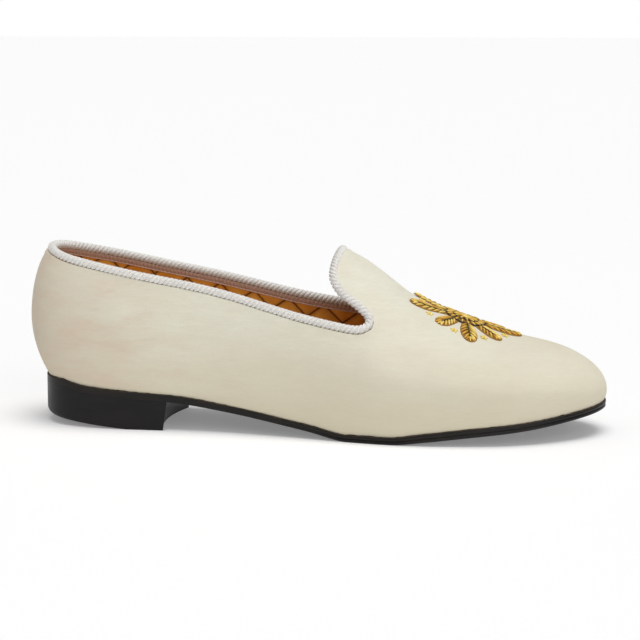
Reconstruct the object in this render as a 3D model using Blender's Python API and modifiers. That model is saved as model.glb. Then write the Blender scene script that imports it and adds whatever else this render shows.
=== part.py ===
"""Velvet slipper loafer, a right shoe, standing empty on its sole.

X runs from the back of the heel to the toe, +Y is the big-toe side and Z is up
from the floor. Lengths are in metres. The shoe is one loft around its last: at
each angle round the foot a curve climbs from the feather edge, where upper and
sole meet, out to the belly and up to the spine on top of the foot.
"""
import math

import bmesh
import bpy
import numpy as np

# Driving sizes
LENGTH = 0.298
HEEL_WIDTH = 0.063
BALL_WIDTH = 0.094
HEEL_BULGE = 0.0084
COLLAR_HEIGHT = 0.091
INSTEP_HEIGHT = 0.0915
HEEL_HEIGHT = 0.0148
TOE_SPRING = 0.0128
SOLE_THICKNESS = 0.0038
WALL = 0.002
CORD_DIAMETER = 0.0045
INSOLE_THICKNESS = 0.003
EMBROIDERY_SIZE = 0.058
EMBROIDERY_THICKNESS = 0.0010
GAP = 0.0003

# Smaller sizes of single features
SOLE_MARGIN = 0.0008
SOLE_GROOVE = 0.0006
WALL_IN_PLAN = 0.0024
INSOLE_CLEARANCE = 0.0008
HEEL_BREAST = 0.0690
BREAST_HOLLOW = 0.0045
BREAST_LEAN = 0.0020
HEEL_BACK_LIFT = 0.0042
HEEL_TREAD_START = 0.056
SPINE_BACK = 0.048
SPINE_FRONT = 0.045
SPINE_SHIFT = 0.003
TUCK = 0.25

# The last, by the angle round the foot from heel to toe. Widths from the middle are
# shares of the width named; bulge is how far the belly stands out past the feather
# edge, as a share of HEEL_BULGE; belly is its height as a share of COLLAR_HEIGHT; lean
# is how much the section draws in between belly and spine.
LAST = (
    # angle, width, lateral, medial, bulge, belly, lean
    (0, HEEL_WIDTH, 0.000, 0.000, 1.00, 0.604, 0.00),
    (15, HEEL_WIDTH, 0.278, 0.278, 0.90, 0.590, 0.00),
    (30, HEEL_WIDTH, 0.437, 0.437, 0.64, 0.550, 0.00),
    (45, HEEL_WIDTH, 0.500, 0.490, 0.45, 0.495, 0.00),
    (60, HEEL_WIDTH, 0.505, 0.466, 0.38, 0.440, 0.00),
    (75, BALL_WIDTH, 0.370, 0.284, 0.36, 0.396, 0.04),
    (90, BALL_WIDTH, 0.448, 0.314, 0.31, 0.352, 0.10),
    (105, BALL_WIDTH, 0.534, 0.403, 0.26, 0.315, 0.12),
    (120, BALL_WIDTH, 0.538, 0.457, 0.24, 0.286, 0.08),
    (135, BALL_WIDTH, 0.474, 0.415, 0.21, 0.269, 0.03),
    (150, BALL_WIDTH, 0.335, 0.300, 0.18, 0.253, 0.00),
    (165, BALL_WIDTH, 0.178, 0.165, 0.155, 0.237, 0.00),
    (180, BALL_WIDTH, 0.000, 0.000, 0.145, 0.231, 0.00),
)

# Height of the spine, as a share of INSTEP_HEIGHT, by the share of LENGTH. Behind the
# tongue it only shapes the quarters, because the shoe is open there.
SPINE = (
    # along, height
    (0.00, 1.224),
    (0.20, 1.224),
    (0.37, 1.150),
    (0.47, 1.068),
    (0.543, 0.998),
    (0.590, 0.922),
    (0.630, 0.824),
    (0.671, 0.733),
    (0.718, 0.661),
    (0.789, 0.583),
    (0.856, 0.526),
    (0.923, 0.498),
    (1.000, 0.459),
)

# The sole from the side, by the share of its own length: height of its underside as
# shares of HEEL_HEIGHT and TOE_SPRING, and its edge as a share of SOLE_THICKNESS.
TREAD = (
    # along, heel_share, toe_share, edge
    (0.000, 1.400, 0.000, 1.00),
    (0.040, 1.380, 0.000, 1.00),
    (0.080, 1.230, 0.000, 1.00),
    (0.160, 1.085, 0.000, 1.00),
    (0.255, 0.970, 0.000, 1.00),
    (0.352, 0.722, 0.000, 0.93),
    (0.452, 0.400, 0.000, 0.92),
    (0.505, 0.215, 0.000, 0.98),
    (0.543, 0.050, 0.000, 1.00),
    (0.562, 0.000, 0.000, 1.00),
    (0.640, 0.000, 0.000, 1.02),
    (0.700, 0.000, 0.140, 1.18),
    (0.764, 0.000, 0.315, 1.20),
    (0.879, 0.000, 0.590, 1.10),
    (1.000, 0.000, 1.000, 1.02),
)

# The sole's edge from its underside up: share of its height and how deep it is drawn in
# there, as a share of SOLE_GROOVE, which leaves two beads with a groove between them.
SOLE_EDGE = (
    # up, depth
    (0.00, 1.0),
    (0.16, 0.0),
    (0.42, 0.0),
    (0.54, 1.0),
    (0.66, 0.0),
    (0.90, 0.0),
    (1.00, 1.0),
)

# Middle of the collar cord from the side: along the topline from the heel to the front
# corner, in shares of LENGTH and COLLAR_HEIGHT, and from there up the tongue's edge, in
# shares of INSTEP_HEIGHT and LENGTH. Slant is how steeply the topline rises across the
# shoe, from the lateral to the medial side.
TOPLINE = (
    # along, height, slant
    (-0.05, 1.020, 0.000),
    (0.040, 0.987, 0.000),
    (0.067, 0.960, 0.000),
    (0.107, 0.930, 0.000),
    (0.144, 0.906, 0.000),
    (0.215, 0.860, 0.000),
    (0.285, 0.820, 0.000),
    (0.362, 0.770, 0.004),
    (0.431, 0.716, 0.016),
    (0.493, 0.671, 0.026),
    (0.560, 0.633, 0.030),
    (0.585, 0.622, 0.030),
    (0.600, 0.627, 0.030),
    (0.609, 0.642, 0.030),
)
TONGUE = (
    # height, along
    (0.638, 0.609),
    (0.668, 0.610),
    (0.705, 0.600),
    (0.743, 0.585),
    (0.773, 0.570),
    (0.798, 0.559),
    (0.832, 0.549),
    (0.870, 0.542),
    (0.917, 0.541),
    (0.960, 0.543),
    (1.000, 0.547),
    (1.300, 0.560),
)

# The embroidered spray: a round boss with leaves at these directions from the toe
# side, their lengths as shares of half of EMBROIDERY_SIZE and half-widths in degrees.
BOSS = 0.34
LEAVES = (
    # direction, length, half_width
    (0, 1.00, 15),
    (40, 0.86, 15),
    (80, 0.96, 15),
    (120, 0.86, 15),
    (160, 1.00, 14),
    (200, 1.00, 14),
    (240, 0.86, 15),
    (280, 0.96, 15),
    (320, 0.86, 15),
)
EMBROIDERY_ALONG = 0.758
EMBROIDERY_SHIFT = -0.001

# Steps that the lofts are made with
STATIONS = 48
TUCK_LEVELS = 3
SIDE_LEVELS = 9
HEEL_STEPS = 16
BREAST_STEPS = 10
SEAT_STEPS = 26
TOPLINE_STEPS = 260
TONGUE_STEPS = 160
OPENING_STEPS = (60, 36)
CORD_POINTS = 118
SPRAY_POINTS = 90
SPRAY_RINGS = (0.2, 0.4, 0.6, 0.8, 1.0)
SLOPE_STEP = 0.003
WELD = 0.00001
CUT_REACH = 0.09

# Where lines on the last are looked for: angles in degrees, and levels of the wall
TOPLINE_SWEEP = 128
TOPLINE_TOP = 0.80
TONGUE_SWEEP = (69, 138)
TONGUE_LOW = 0.3
VAMP_SWEEP = (57, 179.4)
VAMP_START = (120, 0.85)
VAMP_LEVELS = (0.30, 0.995)

LATERAL = -1
MEDIAL = 1


class Curve:
    """A smooth curve through rows of a table, with flat, free or never-overshooting slopes."""

    def __init__(self, xs, ys, ends="free"):
        self.xs = np.array(xs, float)
        self.ys = np.array(ys, float)
        step = np.diff(self.xs)
        rise = np.diff(self.ys) / step
        if ends == "monotone":
            self.slopes = self.monotone(step, rise)
        else:
            self.slopes = self.even(step, rise, ends)

    def monotone(self, step, rise):
        slopes = np.zeros(len(self.xs))
        for i in range(1, len(step)):
            if rise[i - 1] * rise[i] > 0:
                before = 2 * step[i] + step[i - 1]
                after = step[i] + 2 * step[i - 1]
                slopes[i] = (before + after) / (before / rise[i - 1] + after / rise[i])
        slopes[0] = rise[0]
        slopes[-1] = rise[-1]
        return slopes

    def even(self, step, rise, ends):
        count = len(self.xs)
        matrix = np.zeros((count, count))
        right = np.zeros(count)
        for i in range(1, count - 1):
            matrix[i, i - 1] = 1 / step[i - 1]
            matrix[i, i] = 2 * (1 / step[i - 1] + 1 / step[i])
            matrix[i, i + 1] = 1 / step[i]
            right[i] = 3 * (rise[i - 1] / step[i - 1] + rise[i] / step[i])
        for row, near, slope in ((0, 1, rise[0]), (count - 1, count - 2, rise[-1])):
            matrix[row, row] = 1 if ends == "flat" else 2
            matrix[row, near] = 0 if ends == "flat" else 1
            right[row] = 0 if ends == "flat" else 3 * slope
        return np.linalg.solve(matrix, right)

    def __call__(self, x):
        x = np.clip(np.asarray(x, float), self.xs[0], self.xs[-1])
        i = np.clip(np.searchsorted(self.xs, x) - 1, 0, len(self.xs) - 2)
        step = self.xs[i + 1] - self.xs[i]
        t = (x - self.xs[i]) / step
        start = self.ys[i] * (1 + 2 * t) * (1 - t) ** 2 + self.slopes[i] * step * t * (1 - t) ** 2
        end = self.ys[i + 1] * t * t * (3 - 2 * t) + self.slopes[i + 1] * step * t * t * (t - 1)
        return start + end


# Curves of the last
angles = [math.radians(row[0]) for row in LAST]
half_width = {
    LATERAL: Curve(angles, [row[1] * row[2] for row in LAST]),
    MEDIAL: Curve(angles, [row[1] * row[3] for row in LAST]),
}
bulge_at = Curve(angles, [HEEL_BULGE * row[4] for row in LAST], "flat")
belly_at = Curve(angles, [COLLAR_HEIGHT * row[5] for row in LAST], "flat")
lean_at = Curve(angles, [row[6] for row in LAST], "flat")
spine_at = Curve([LENGTH * row[0] for row in SPINE], [INSTEP_HEIGHT * row[1] for row in SPINE])

# Curves of the sole
SOLE_BACK = HEEL_BULGE * LAST[0][4]
SOLE_FRONT = LENGTH - HEEL_BULGE * LAST[-1][4]
SOLE_LENGTH = SOLE_FRONT - SOLE_BACK
along_sole = [SOLE_BACK + SOLE_LENGTH * row[0] for row in TREAD]
under_at = Curve(along_sole, [HEEL_HEIGHT * row[1] + TOE_SPRING * row[2] for row in TREAD], "monotone")
edge_at = Curve(along_sole, [SOLE_THICKNESS * row[3] for row in TREAD], "monotone")

# Curves of the collar, seen from the side
topline_at = Curve([LENGTH * row[0] for row in TOPLINE], [COLLAR_HEIGHT * row[1] for row in TOPLINE])
slant_at = Curve([LENGTH * row[0] for row in TOPLINE], [row[2] for row in TOPLINE], "monotone")
tongue_at = Curve([INSTEP_HEIGHT * row[0] for row in TONGUE], [LENGTH * row[1] for row in TONGUE])


def feather_height(x):
    """Height of the line where upper and sole meet."""
    return under_at(x) + edge_at(x)


def feather(side, angle, margin=0.0):
    """Plan outline of the feather edge, moved outwards by a margin."""
    def outline(a):
        return SOLE_BACK + SOLE_LENGTH * (1 - np.cos(a)) / 2, side * half_width[side](a)

    x, y = outline(angle)
    x_after, y_after = outline(np.minimum(angle + SLOPE_STEP, math.pi))
    x_before, y_before = outline(np.maximum(angle - SLOPE_STEP, 0.0))
    dx = x_after - x_before
    dy = y_after - y_before
    size = np.hypot(dx, dy)
    at_end = (angle < SLOPE_STEP) | (angle > math.pi - SLOPE_STEP)
    normal_x = np.where(at_end, np.where(angle < 1, -1.0, 1.0), -side * dy / size)
    normal_y = np.where(at_end, 0.0, side * dx / size)
    return x + margin * normal_x, y + margin * normal_y


def wall(side, angle, level):
    """Point of the upper's outer face: level 0 at the feather edge, 1 on the spine."""
    angle = np.asarray(angle, float)
    level = np.asarray(level, float)
    fx, fy = feather(side, angle)
    bx, by = feather(side, angle, bulge_at(angle))
    fz = feather_height(fx)
    bz = belly_at(angle)
    share = (1 - np.cos(angle)) / 2
    tx = SPINE_BACK + (LENGTH - SPINE_FRONT - SPINE_BACK) * share
    ty = SPINE_SHIFT * np.sin(angle)
    low = np.clip(level / TUCK, 0, 1)
    out = 1 - (1 - low) ** 2
    turn = np.clip((level - TUCK) / (1 - TUCK), 0, 1) * math.pi / 2
    reach = np.cos(turn) * (1 - lean_at(angle) * np.sin(turn) ** 2)
    x = np.where(level < TUCK, fx + (bx - fx) * out, tx + (bx - tx) * reach)
    y = np.where(level < TUCK, fy + (by - fy) * out, ty + (by - ty) * reach)
    z = np.where(level < TUCK, fz + (bz - fz) * low, bz + (spine_at(x) - bz) * np.sin(turn))
    return np.stack([x, y, z], axis=-1)


def wall_offset(side, angle, level, distance):
    """Point that lies this far outside the upper's outer face."""
    along = wall(side, np.minimum(angle + SLOPE_STEP, math.pi), level)
    along = along - wall(side, np.maximum(angle - SLOPE_STEP, 0), level)
    up = wall(side, angle, np.minimum(level + SLOPE_STEP, 1))
    up = up - wall(side, angle, np.maximum(level - SLOPE_STEP, 0))
    normal = np.cross(along, up) * -side
    normal = normal / np.linalg.norm(normal, axis=-1, keepdims=True)
    return wall(side, angle, level) + normal * distance


def halve(test, low, high, rounds=40):
    """Where a rising test crosses zero, for arrays of lower and upper limits."""
    for _ in range(rounds):
        middle = (low + high) / 2
        above = test(middle) > 0
        high = np.where(above, middle, high)
        low = np.where(above, low, middle)
    return (low + high) / 2


def side_height(point):
    """Height of points with the collar's slant taken out."""
    return point[:, 2] - slant_at(point[:, 0]) * point[:, 1]


def collar_line(side, depth):
    """The cord's middle on one side, from the back of the heel to the top of the tongue."""
    corner = LENGTH * TOPLINE[-1][0]
    angle = np.linspace(0, math.radians(TOPLINE_SWEEP), TOPLINE_STEPS)

    def over_topline(level):
        point = wall_offset(side, angle, level, -depth)
        return side_height(point) - topline_at(point[:, 0])

    level = halve(over_topline, np.full(len(angle), TUCK), np.full(len(angle), TOPLINE_TOP))
    rear = wall_offset(side, angle, level, -depth)
    rear = rear[rear[:, 0] < corner]
    turn = np.linspace(TONGUE_LOW, 1.0, TONGUE_STEPS)
    first, last = np.radians(TONGUE_SWEEP)

    def past_tongue(theta):
        point = wall_offset(side, theta, turn, -depth)
        return point[:, 0] - tongue_at(side_height(point))

    theta = halve(past_tongue, np.full(len(turn), first), np.full(len(turn), last))
    front = wall_offset(side, theta, turn, -depth)
    front = front[side_height(front) > INSTEP_HEIGHT * TONGUE[0][0] + GAP]
    return np.vstack([rear, front])


def evenly(points, count, closed):
    """The same line with its points at even distances."""
    line = np.vstack([points, points[:1]]) if closed else points
    run = np.concatenate([[0], np.cumsum(np.linalg.norm(np.diff(line, axis=0), axis=1))])
    stops = np.linspace(0, run[-1], count + 1)[:-1] if closed else np.linspace(0, run[-1], count)
    return np.stack([np.interp(stops, run, line[:, axis]) for axis in range(3)], axis=1)


def material(name, color, roughness, metallic=0.0):
    made = bpy.data.materials.new(name)
    made.use_nodes = True
    shader = made.node_tree.nodes["Principled BSDF"]
    shader.inputs["Base Color"].default_value = (*color, 1.0)
    shader.inputs["Roughness"].default_value = roughness
    shader.inputs["Metallic"].default_value = metallic
    made.diffuse_color = (*color, 1.0)
    return made


def add_object(name, mesh, collection, parent, finish=None):
    made = bpy.data.objects.new(name, mesh)
    collection.objects.link(made)
    made.parent = parent
    if finish:
        mesh.materials.append(finish)
    return made


def mesh_from(name, bm, closed=True):
    if closed:
        bmesh.ops.recalc_face_normals(bm, faces=bm.faces)
    mesh = bpy.data.meshes.new(name)
    bm.to_mesh(mesh)
    bm.free()
    mesh.shade_smooth()
    mesh.set_sharp_from_angle(angle=math.radians(40))
    return mesh


def around():
    """Side and angle of each station, once round the foot from the back of the heel."""
    steps = [math.pi * i / STATIONS for i in range(STATIONS + 1)]
    loop = [(LATERAL, a) for a in steps]
    loop += [(MEDIAL, a) for a in reversed(steps[1:-1])]
    return loop


def ring(bm, points):
    return [bm.verts.new(point) for point in points]


def bridge(bm, lower, upper):
    for i in range(len(lower)):
        j = (i + 1) % len(lower)
        bm.faces.new((lower[i], lower[j], upper[j], upper[i]))


def fill_across(bm, loop):
    """Closes a loop of stations with strips from the lateral side to the medial side."""
    count = len(loop)
    half = count // 2
    for i in range(half):
        near, far = loop[i], loop[i + 1]
        other_near, other_far = loop[(count - i) % count], loop[count - i - 1]
        corners = [near, far, other_far, other_near]
        bm.faces.new([v for k, v in enumerate(corners) if v not in corners[:k]])


def build_upper(collection, cutters, parent):
    bm = bmesh.new()
    levels = [TUCK * i / TUCK_LEVELS for i in range(TUCK_LEVELS)]
    levels += [TUCK + (1 - TUCK) * i / SIDE_LEVELS for i in range(SIDE_LEVELS + 1)]
    rings = [ring(bm, [wall(side, angle, level) for side, angle in around()]) for level in levels]
    for lower, upper in zip(rings, rings[1:]):
        bridge(bm, lower, upper)
    bmesh.ops.remove_doubles(bm, verts=rings[-1], dist=WELD)
    made = add_object("upper", mesh_from("upper", bm, closed=False), collection, parent,
                      material("cream_velvet", (0.80, 0.76, 0.66), 0.9))
    shell = made.modifiers.new("wall", "SOLIDIFY")
    shell.thickness = WALL
    shell.offset = -1
    cut = made.modifiers.new("collar", "BOOLEAN")
    cut.operation = "DIFFERENCE"
    cut.solver = "EXACT"
    cut.object = build_opening(cutters, parent)
    return made


def opening_outline():
    """The opening from the side: the cord's middle line moved into the wall's edge."""
    rear = np.linspace(LENGTH * TOPLINE[0][0], LENGTH * TOPLINE[-1][0], OPENING_STEPS[0])
    up = np.linspace(INSTEP_HEIGHT * TONGUE[0][0], INSTEP_HEIGHT * TONGUE[-1][0], OPENING_STEPS[1])
    line = np.vstack([np.stack([rear, topline_at(rear)], axis=1),
                      np.stack([tongue_at(up), up], axis=1)[1:]])
    tangent = np.gradient(line, axis=0)
    tangent /= np.linalg.norm(tangent, axis=1, keepdims=True)
    outwards = np.stack([tangent[:, 1], -tangent[:, 0]], axis=1)
    return line + outwards * (CORD_DIAMETER / 2 + GAP)


def build_opening(cutters, parent):
    outline = opening_outline()
    corners = [*outline, (outline[0][0], outline[-1][1])]
    bm = bmesh.new()
    sides = []
    for y in (-CUT_REACH, CUT_REACH):
        sides.append(ring(bm, [(x, y, z + float(slant_at(x)) * y) for x, z in corners]))
        bm.faces.new(sides[-1])
    bridge(bm, sides[0], sides[1])
    return hide_cutter(add_object("collar_cutter", mesh_from("collar_cutter", bm), cutters, parent))


def hide_cutter(cutter):
    cutter.hide_render = True
    cutter.display_type = "WIRE"
    return cutter


def build_collar_cord(collection, parent):
    lateral = collar_line(LATERAL, WALL / 2)
    medial = collar_line(MEDIAL, WALL / 2)
    points = evenly(np.vstack([lateral, medial[::-1][1:-1]]), CORD_POINTS, closed=True)
    curve = bpy.data.curves.new("collar_cord", "CURVE")
    curve.dimensions = "3D"
    curve.bevel_depth = CORD_DIAMETER / 2
    curve.bevel_resolution = 2
    spline = curve.splines.new("POLY")
    spline.points.add(len(points) - 1)
    for place, point in zip(spline.points, points):
        place.co = (*point, 1.0)
    spline.use_cyclic_u = True
    guide = add_object("collar_cord_guide", curve, collection, parent)
    bpy.context.view_layer.update()
    evaluated = guide.evaluated_get(bpy.context.evaluated_depsgraph_get())
    mesh = bpy.data.meshes.new_from_object(evaluated)
    mesh.shade_smooth()
    bpy.data.objects.remove(guide)
    bm = bmesh.new()
    bm.from_mesh(mesh)
    bmesh.ops.remove_doubles(bm, verts=bm.verts, dist=WELD)
    bmesh.ops.recalc_face_normals(bm, faces=bm.faces)
    bm.to_mesh(mesh)
    bm.free()
    return add_object("collar_cord", mesh, collection, parent, material("white_cord", (0.88, 0.87, 0.84), 0.8))


def plate(name, levels):
    """A sheet between the last's outlines: levels are margins with their height functions."""
    bm = bmesh.new()
    rings = []
    for margin, height in levels:
        points = []
        for side, angle in around():
            x, y = feather(side, angle, margin)
            points.append((x, y, height(x)))
        rings.append(ring(bm, points))
    for lower, upper in zip(rings, rings[1:]):
        bridge(bm, lower, upper)
    fill_across(bm, rings[0])
    fill_across(bm, rings[-1])
    return mesh_from(name, bm)


def build_outsole(collection, parent):
    def at(share):
        return lambda x: under_at(x) + (edge_at(x) - GAP) * share

    profile = [(SOLE_MARGIN - SOLE_GROOVE * depth, at(up)) for up, depth in SOLE_EDGE]
    return add_object("outsole", plate("outsole", profile), collection, parent,
                      material("black_sole", (0.018, 0.017, 0.016), 0.45))


def build_insole(collection, parent):
    margin = -(WALL_IN_PLAN + INSOLE_CLEARANCE)
    levels = [
        (margin, lambda x: feather_height(x) + GAP),
        (margin, lambda x: feather_height(x) + GAP + INSOLE_THICKNESS),
    ]
    return add_object("insole", plate("insole", levels), collection, parent,
                      material("tan_insole", (0.55, 0.33, 0.14), 0.6))


def heel_outline(lean):
    """Plan of the heel block: the sole's outline back from the breast, and the breast's arc."""
    front = SOLE_BACK + HEEL_BREAST - lean
    angle = math.acos(1 - 2 * (HEEL_BREAST - lean) / SOLE_LENGTH)
    points = []
    for side, order in ((LATERAL, range(HEEL_STEPS, -1, -1)), (MEDIAL, range(1, HEEL_STEPS + 1))):
        for i in order:
            x, y = feather(side, angle * i / HEEL_STEPS, SOLE_MARGIN)
            points.append((float(x), float(y)))
    start, end = points[-1], points[0]
    for i in range(1, BREAST_STEPS):
        share = i / BREAST_STEPS
        hollow = BREAST_HOLLOW * (1 - (2 * share - 1) ** 2)
        points.append((front - hollow, start[1] + (end[1] - start[1]) * share))
    return points


def build_heel(collection, cutters, parent):
    bm = bmesh.new()
    top = HEEL_HEIGHT * TREAD[0][1] + SOLE_THICKNESS
    low = ring(bm, [(x, y, 0.0) for x, y in heel_outline(BREAST_LEAN)])
    high = ring(bm, [(x, y, top) for x, y in heel_outline(0.0)])
    bridge(bm, low, high)
    bm.faces.new(low)
    bm.faces.new(high)
    made = add_object("heel", mesh_from("heel", bm), collection, parent,
                      material("black_heel", (0.015, 0.014, 0.014), 0.4))
    cuts = {"seat": build_seat_cutter(cutters, parent), "back_lift": build_lift_cutter(cutters, parent)}
    for name, cutter in cuts.items():
        cut = made.modifiers.new(name, "BOOLEAN")
        cut.operation = "DIFFERENCE"
        cut.solver = "EXACT"
        cut.object = cutter
    return made


def build_seat_cutter(cutters, parent):
    """Everything above the sole's underside, less the gap, over the heel."""
    bm = bmesh.new()
    over = HEEL_HEIGHT * TREAD[0][1] + 2 * SOLE_THICKNESS
    reach = HEEL_WIDTH
    rows = []
    for x in np.linspace(0.0, SOLE_BACK + HEEL_BREAST + HEEL_WIDTH / 2, SEAT_STEPS):
        z = float(under_at(x)) - GAP
        rows.append(ring(bm, [(x, -reach, z), (x, reach, z), (x, reach, over), (x, -reach, over)]))
    for near, far in zip(rows, rows[1:]):
        bridge(bm, near, far)
    bm.faces.new(rows[0])
    bm.faces.new(rows[-1])
    return hide_cutter(add_object("seat_cutter", mesh_from("seat_cutter", bm), cutters, parent))


def build_lift_cutter(cutters, parent):
    """The wedge under the back of the heel, which clears the floor a little."""
    bm = bmesh.new()
    reach = HEEL_WIDTH
    slope = HEEL_BACK_LIFT / (HEEL_TREAD_START - SOLE_BACK)
    rise = slope * HEEL_TREAD_START
    profile = ((HEEL_TREAD_START, 0.0), (0.0, rise), (0.0, -rise), (HEEL_TREAD_START, -rise))
    near = ring(bm, [(x, -reach, z) for x, z in profile])
    far = ring(bm, [(x, reach, z) for x, z in profile])
    bridge(bm, near, far)
    bm.faces.new(near)
    bm.faces.new(far)
    return hide_cutter(add_object("lift_cutter", mesh_from("lift_cutter", bm), cutters, parent))


def spray_reach(direction):
    """How far the embroidery reaches in a direction, as a share of half its size."""
    reach = BOSS
    for leaf, length, half in LEAVES:
        turn = abs((direction - leaf + 180) % 360 - 180) / half
        if turn < 1:
            reach = max(reach, BOSS + (length - BOSS) * (1 - turn ** 2) ** 0.5)
    return reach


def on_vamp(spots, lift):
    """Points a little above the vamp, along its normal, over these plan positions."""
    x, y = np.array(spots).T
    placed = np.zeros((len(x), 3))
    first, last = np.radians(VAMP_SWEEP)
    for side in (LATERAL, MEDIAL):
        angle = np.full(len(x), math.radians(VAMP_START[0]))
        level = np.full(len(x), VAMP_START[1])
        for _ in range(12):
            here = wall(side, angle, level)
            by_angle = (wall(side, angle + SLOPE_STEP, level) - here) / SLOPE_STEP
            by_level = (wall(side, angle, level - SLOPE_STEP) - here) / -SLOPE_STEP
            miss_x = x - here[:, 0]
            miss_y = y - here[:, 1]
            area = by_angle[:, 0] * by_level[:, 1] - by_angle[:, 1] * by_level[:, 0]
            angle = angle + (miss_x * by_level[:, 1] - miss_y * by_level[:, 0]) / area
            level = level + (miss_y * by_angle[:, 0] - miss_x * by_angle[:, 1]) / area
            angle = np.clip(angle, first, last)
            level = np.clip(level, VAMP_LEVELS[0], 1.0)
        found = wall_offset(side, angle, np.minimum(level, VAMP_LEVELS[1]), lift)
        spine = wall(side, angle, np.ones(len(x)))[:, 1]
        on_side = (y - spine) * side >= 0
        placed[on_side] = found[on_side]
    return placed


def build_embroidery(collection, parent):
    """One raised solid with the outline of the whole spray, seated on the vamp."""
    centre_x = LENGTH * EMBROIDERY_ALONG
    directions = [360 * i / SPRAY_POINTS for i in range(SPRAY_POINTS)]
    spots = [(centre_x, EMBROIDERY_SHIFT)]
    for share in SPRAY_RINGS:
        for direction in directions:
            turn = math.radians(direction)
            reach = EMBROIDERY_SIZE / 2 * spray_reach(direction) * share
            spots.append((centre_x + reach * math.cos(turn), EMBROIDERY_SHIFT + reach * math.sin(turn)))
    bm = bmesh.new()
    edges = []
    for lift in (GAP, GAP + EMBROIDERY_THICKNESS):
        verts = ring(bm, on_vamp(spots, lift))
        rings = [verts[1 + SPRAY_POINTS * i:1 + SPRAY_POINTS * (i + 1)] for i in range(len(SPRAY_RINGS))]
        for inner, outer in zip(rings, rings[1:]):
            bridge(bm, inner, outer)
        for i in range(SPRAY_POINTS):
            bm.faces.new((rings[0][i], rings[0][(i + 1) % SPRAY_POINTS], verts[0]))
        edges.append(rings[-1])
    bridge(bm, edges[0], edges[1])
    return add_object("embroidery", mesh_from("embroidery", bm), collection, parent,
                      material("gold_thread", (0.72, 0.48, 0.10), 0.45, 0.3))


def plan_middle():
    """How far the middle of the shoe's plan lies from the heel's middle line."""
    angle = np.linspace(0, math.pi, 361)
    lateral = wall(LATERAL, angle, TUCK)[:, 1].min()
    medial = wall(MEDIAL, angle, TUCK)[:, 1].max()
    return float(lateral + medial) / 2


def main():
    for old in list(bpy.data.objects):
        bpy.data.objects.remove(old)
    scene = bpy.context.scene.collection
    shoe = bpy.data.collections.new("velvet_slipper_loafer")
    cutters = bpy.data.collections.new("cutters")
    scene.children.link(shoe)
    scene.children.link(cutters)
    origin = bpy.data.objects.new("floor_middle", None)
    shoe.objects.link(origin)
    origin.location = (-LENGTH / 2, -plan_middle(), 0.0)
    build_outsole(shoe, origin)
    build_heel(shoe, cutters, origin)
    build_insole(shoe, origin)
    build_upper(shoe, cutters, origin)
    build_collar_cord(shoe, origin)
    build_embroidery(shoe, origin)


main()
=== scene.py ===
"""Looks of the velvet slipper loafer: velvet, lining, cord, sole, heel, sock and embroidery.

X runs from the back of the heel to the toe, +Y is the big-toe side and Z is up. Shapes
follow the last that the solids follow, in its own frame, which starts at the back of the
heel on the floor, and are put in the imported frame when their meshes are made.
"""
import math

import bmesh
import bpy
import numpy as np
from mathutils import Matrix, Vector, kdtree, noise


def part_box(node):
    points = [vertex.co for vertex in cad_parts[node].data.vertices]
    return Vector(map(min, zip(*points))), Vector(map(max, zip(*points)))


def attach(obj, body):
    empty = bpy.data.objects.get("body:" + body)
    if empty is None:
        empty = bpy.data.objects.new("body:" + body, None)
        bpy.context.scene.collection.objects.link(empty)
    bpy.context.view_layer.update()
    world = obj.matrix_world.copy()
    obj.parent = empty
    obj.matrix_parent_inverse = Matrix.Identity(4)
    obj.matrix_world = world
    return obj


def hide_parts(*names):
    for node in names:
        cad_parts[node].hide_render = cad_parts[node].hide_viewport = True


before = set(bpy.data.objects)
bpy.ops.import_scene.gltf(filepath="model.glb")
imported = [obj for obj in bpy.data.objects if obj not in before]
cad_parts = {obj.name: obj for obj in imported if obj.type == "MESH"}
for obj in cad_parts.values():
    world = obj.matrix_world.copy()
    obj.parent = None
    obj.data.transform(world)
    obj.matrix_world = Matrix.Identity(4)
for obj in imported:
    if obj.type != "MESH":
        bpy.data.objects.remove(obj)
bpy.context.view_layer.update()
upper_low, upper_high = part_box("upper")

# Sizes that the solids have
LENGTH = upper_high.x - upper_low.x
HEEL_WIDTH = 0.063
BALL_WIDTH = 0.094
HEEL_BULGE = 0.0084
COLLAR_HEIGHT = 0.091
INSTEP_HEIGHT = 0.0915
HEEL_HEIGHT = 0.0148
TOE_SPRING = 0.0128
SOLE_THICKNESS = 0.0038
WALL = 0.002
CORD_DIAMETER = 0.0045
INSOLE_THICKNESS = 0.003
EMBROIDERY_SIZE = 0.058
EMBROIDERY_THICKNESS = 0.0010
SOLE_MARGIN = 0.0008
SOLE_GROOVE = 0.0006
INSOLE_MARGIN = 0.0032
HEEL_BREAST = 0.0690
BREAST_HOLLOW = 0.0045
BREAST_LEAN = 0.0020
HEEL_BACK_LIFT = 0.0042
HEEL_TREAD_START = 0.056
SPINE_BACK = 0.048
SPINE_FRONT = 0.045
SPINE_SHIFT = 0.003
TUCK = 0.25

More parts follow.
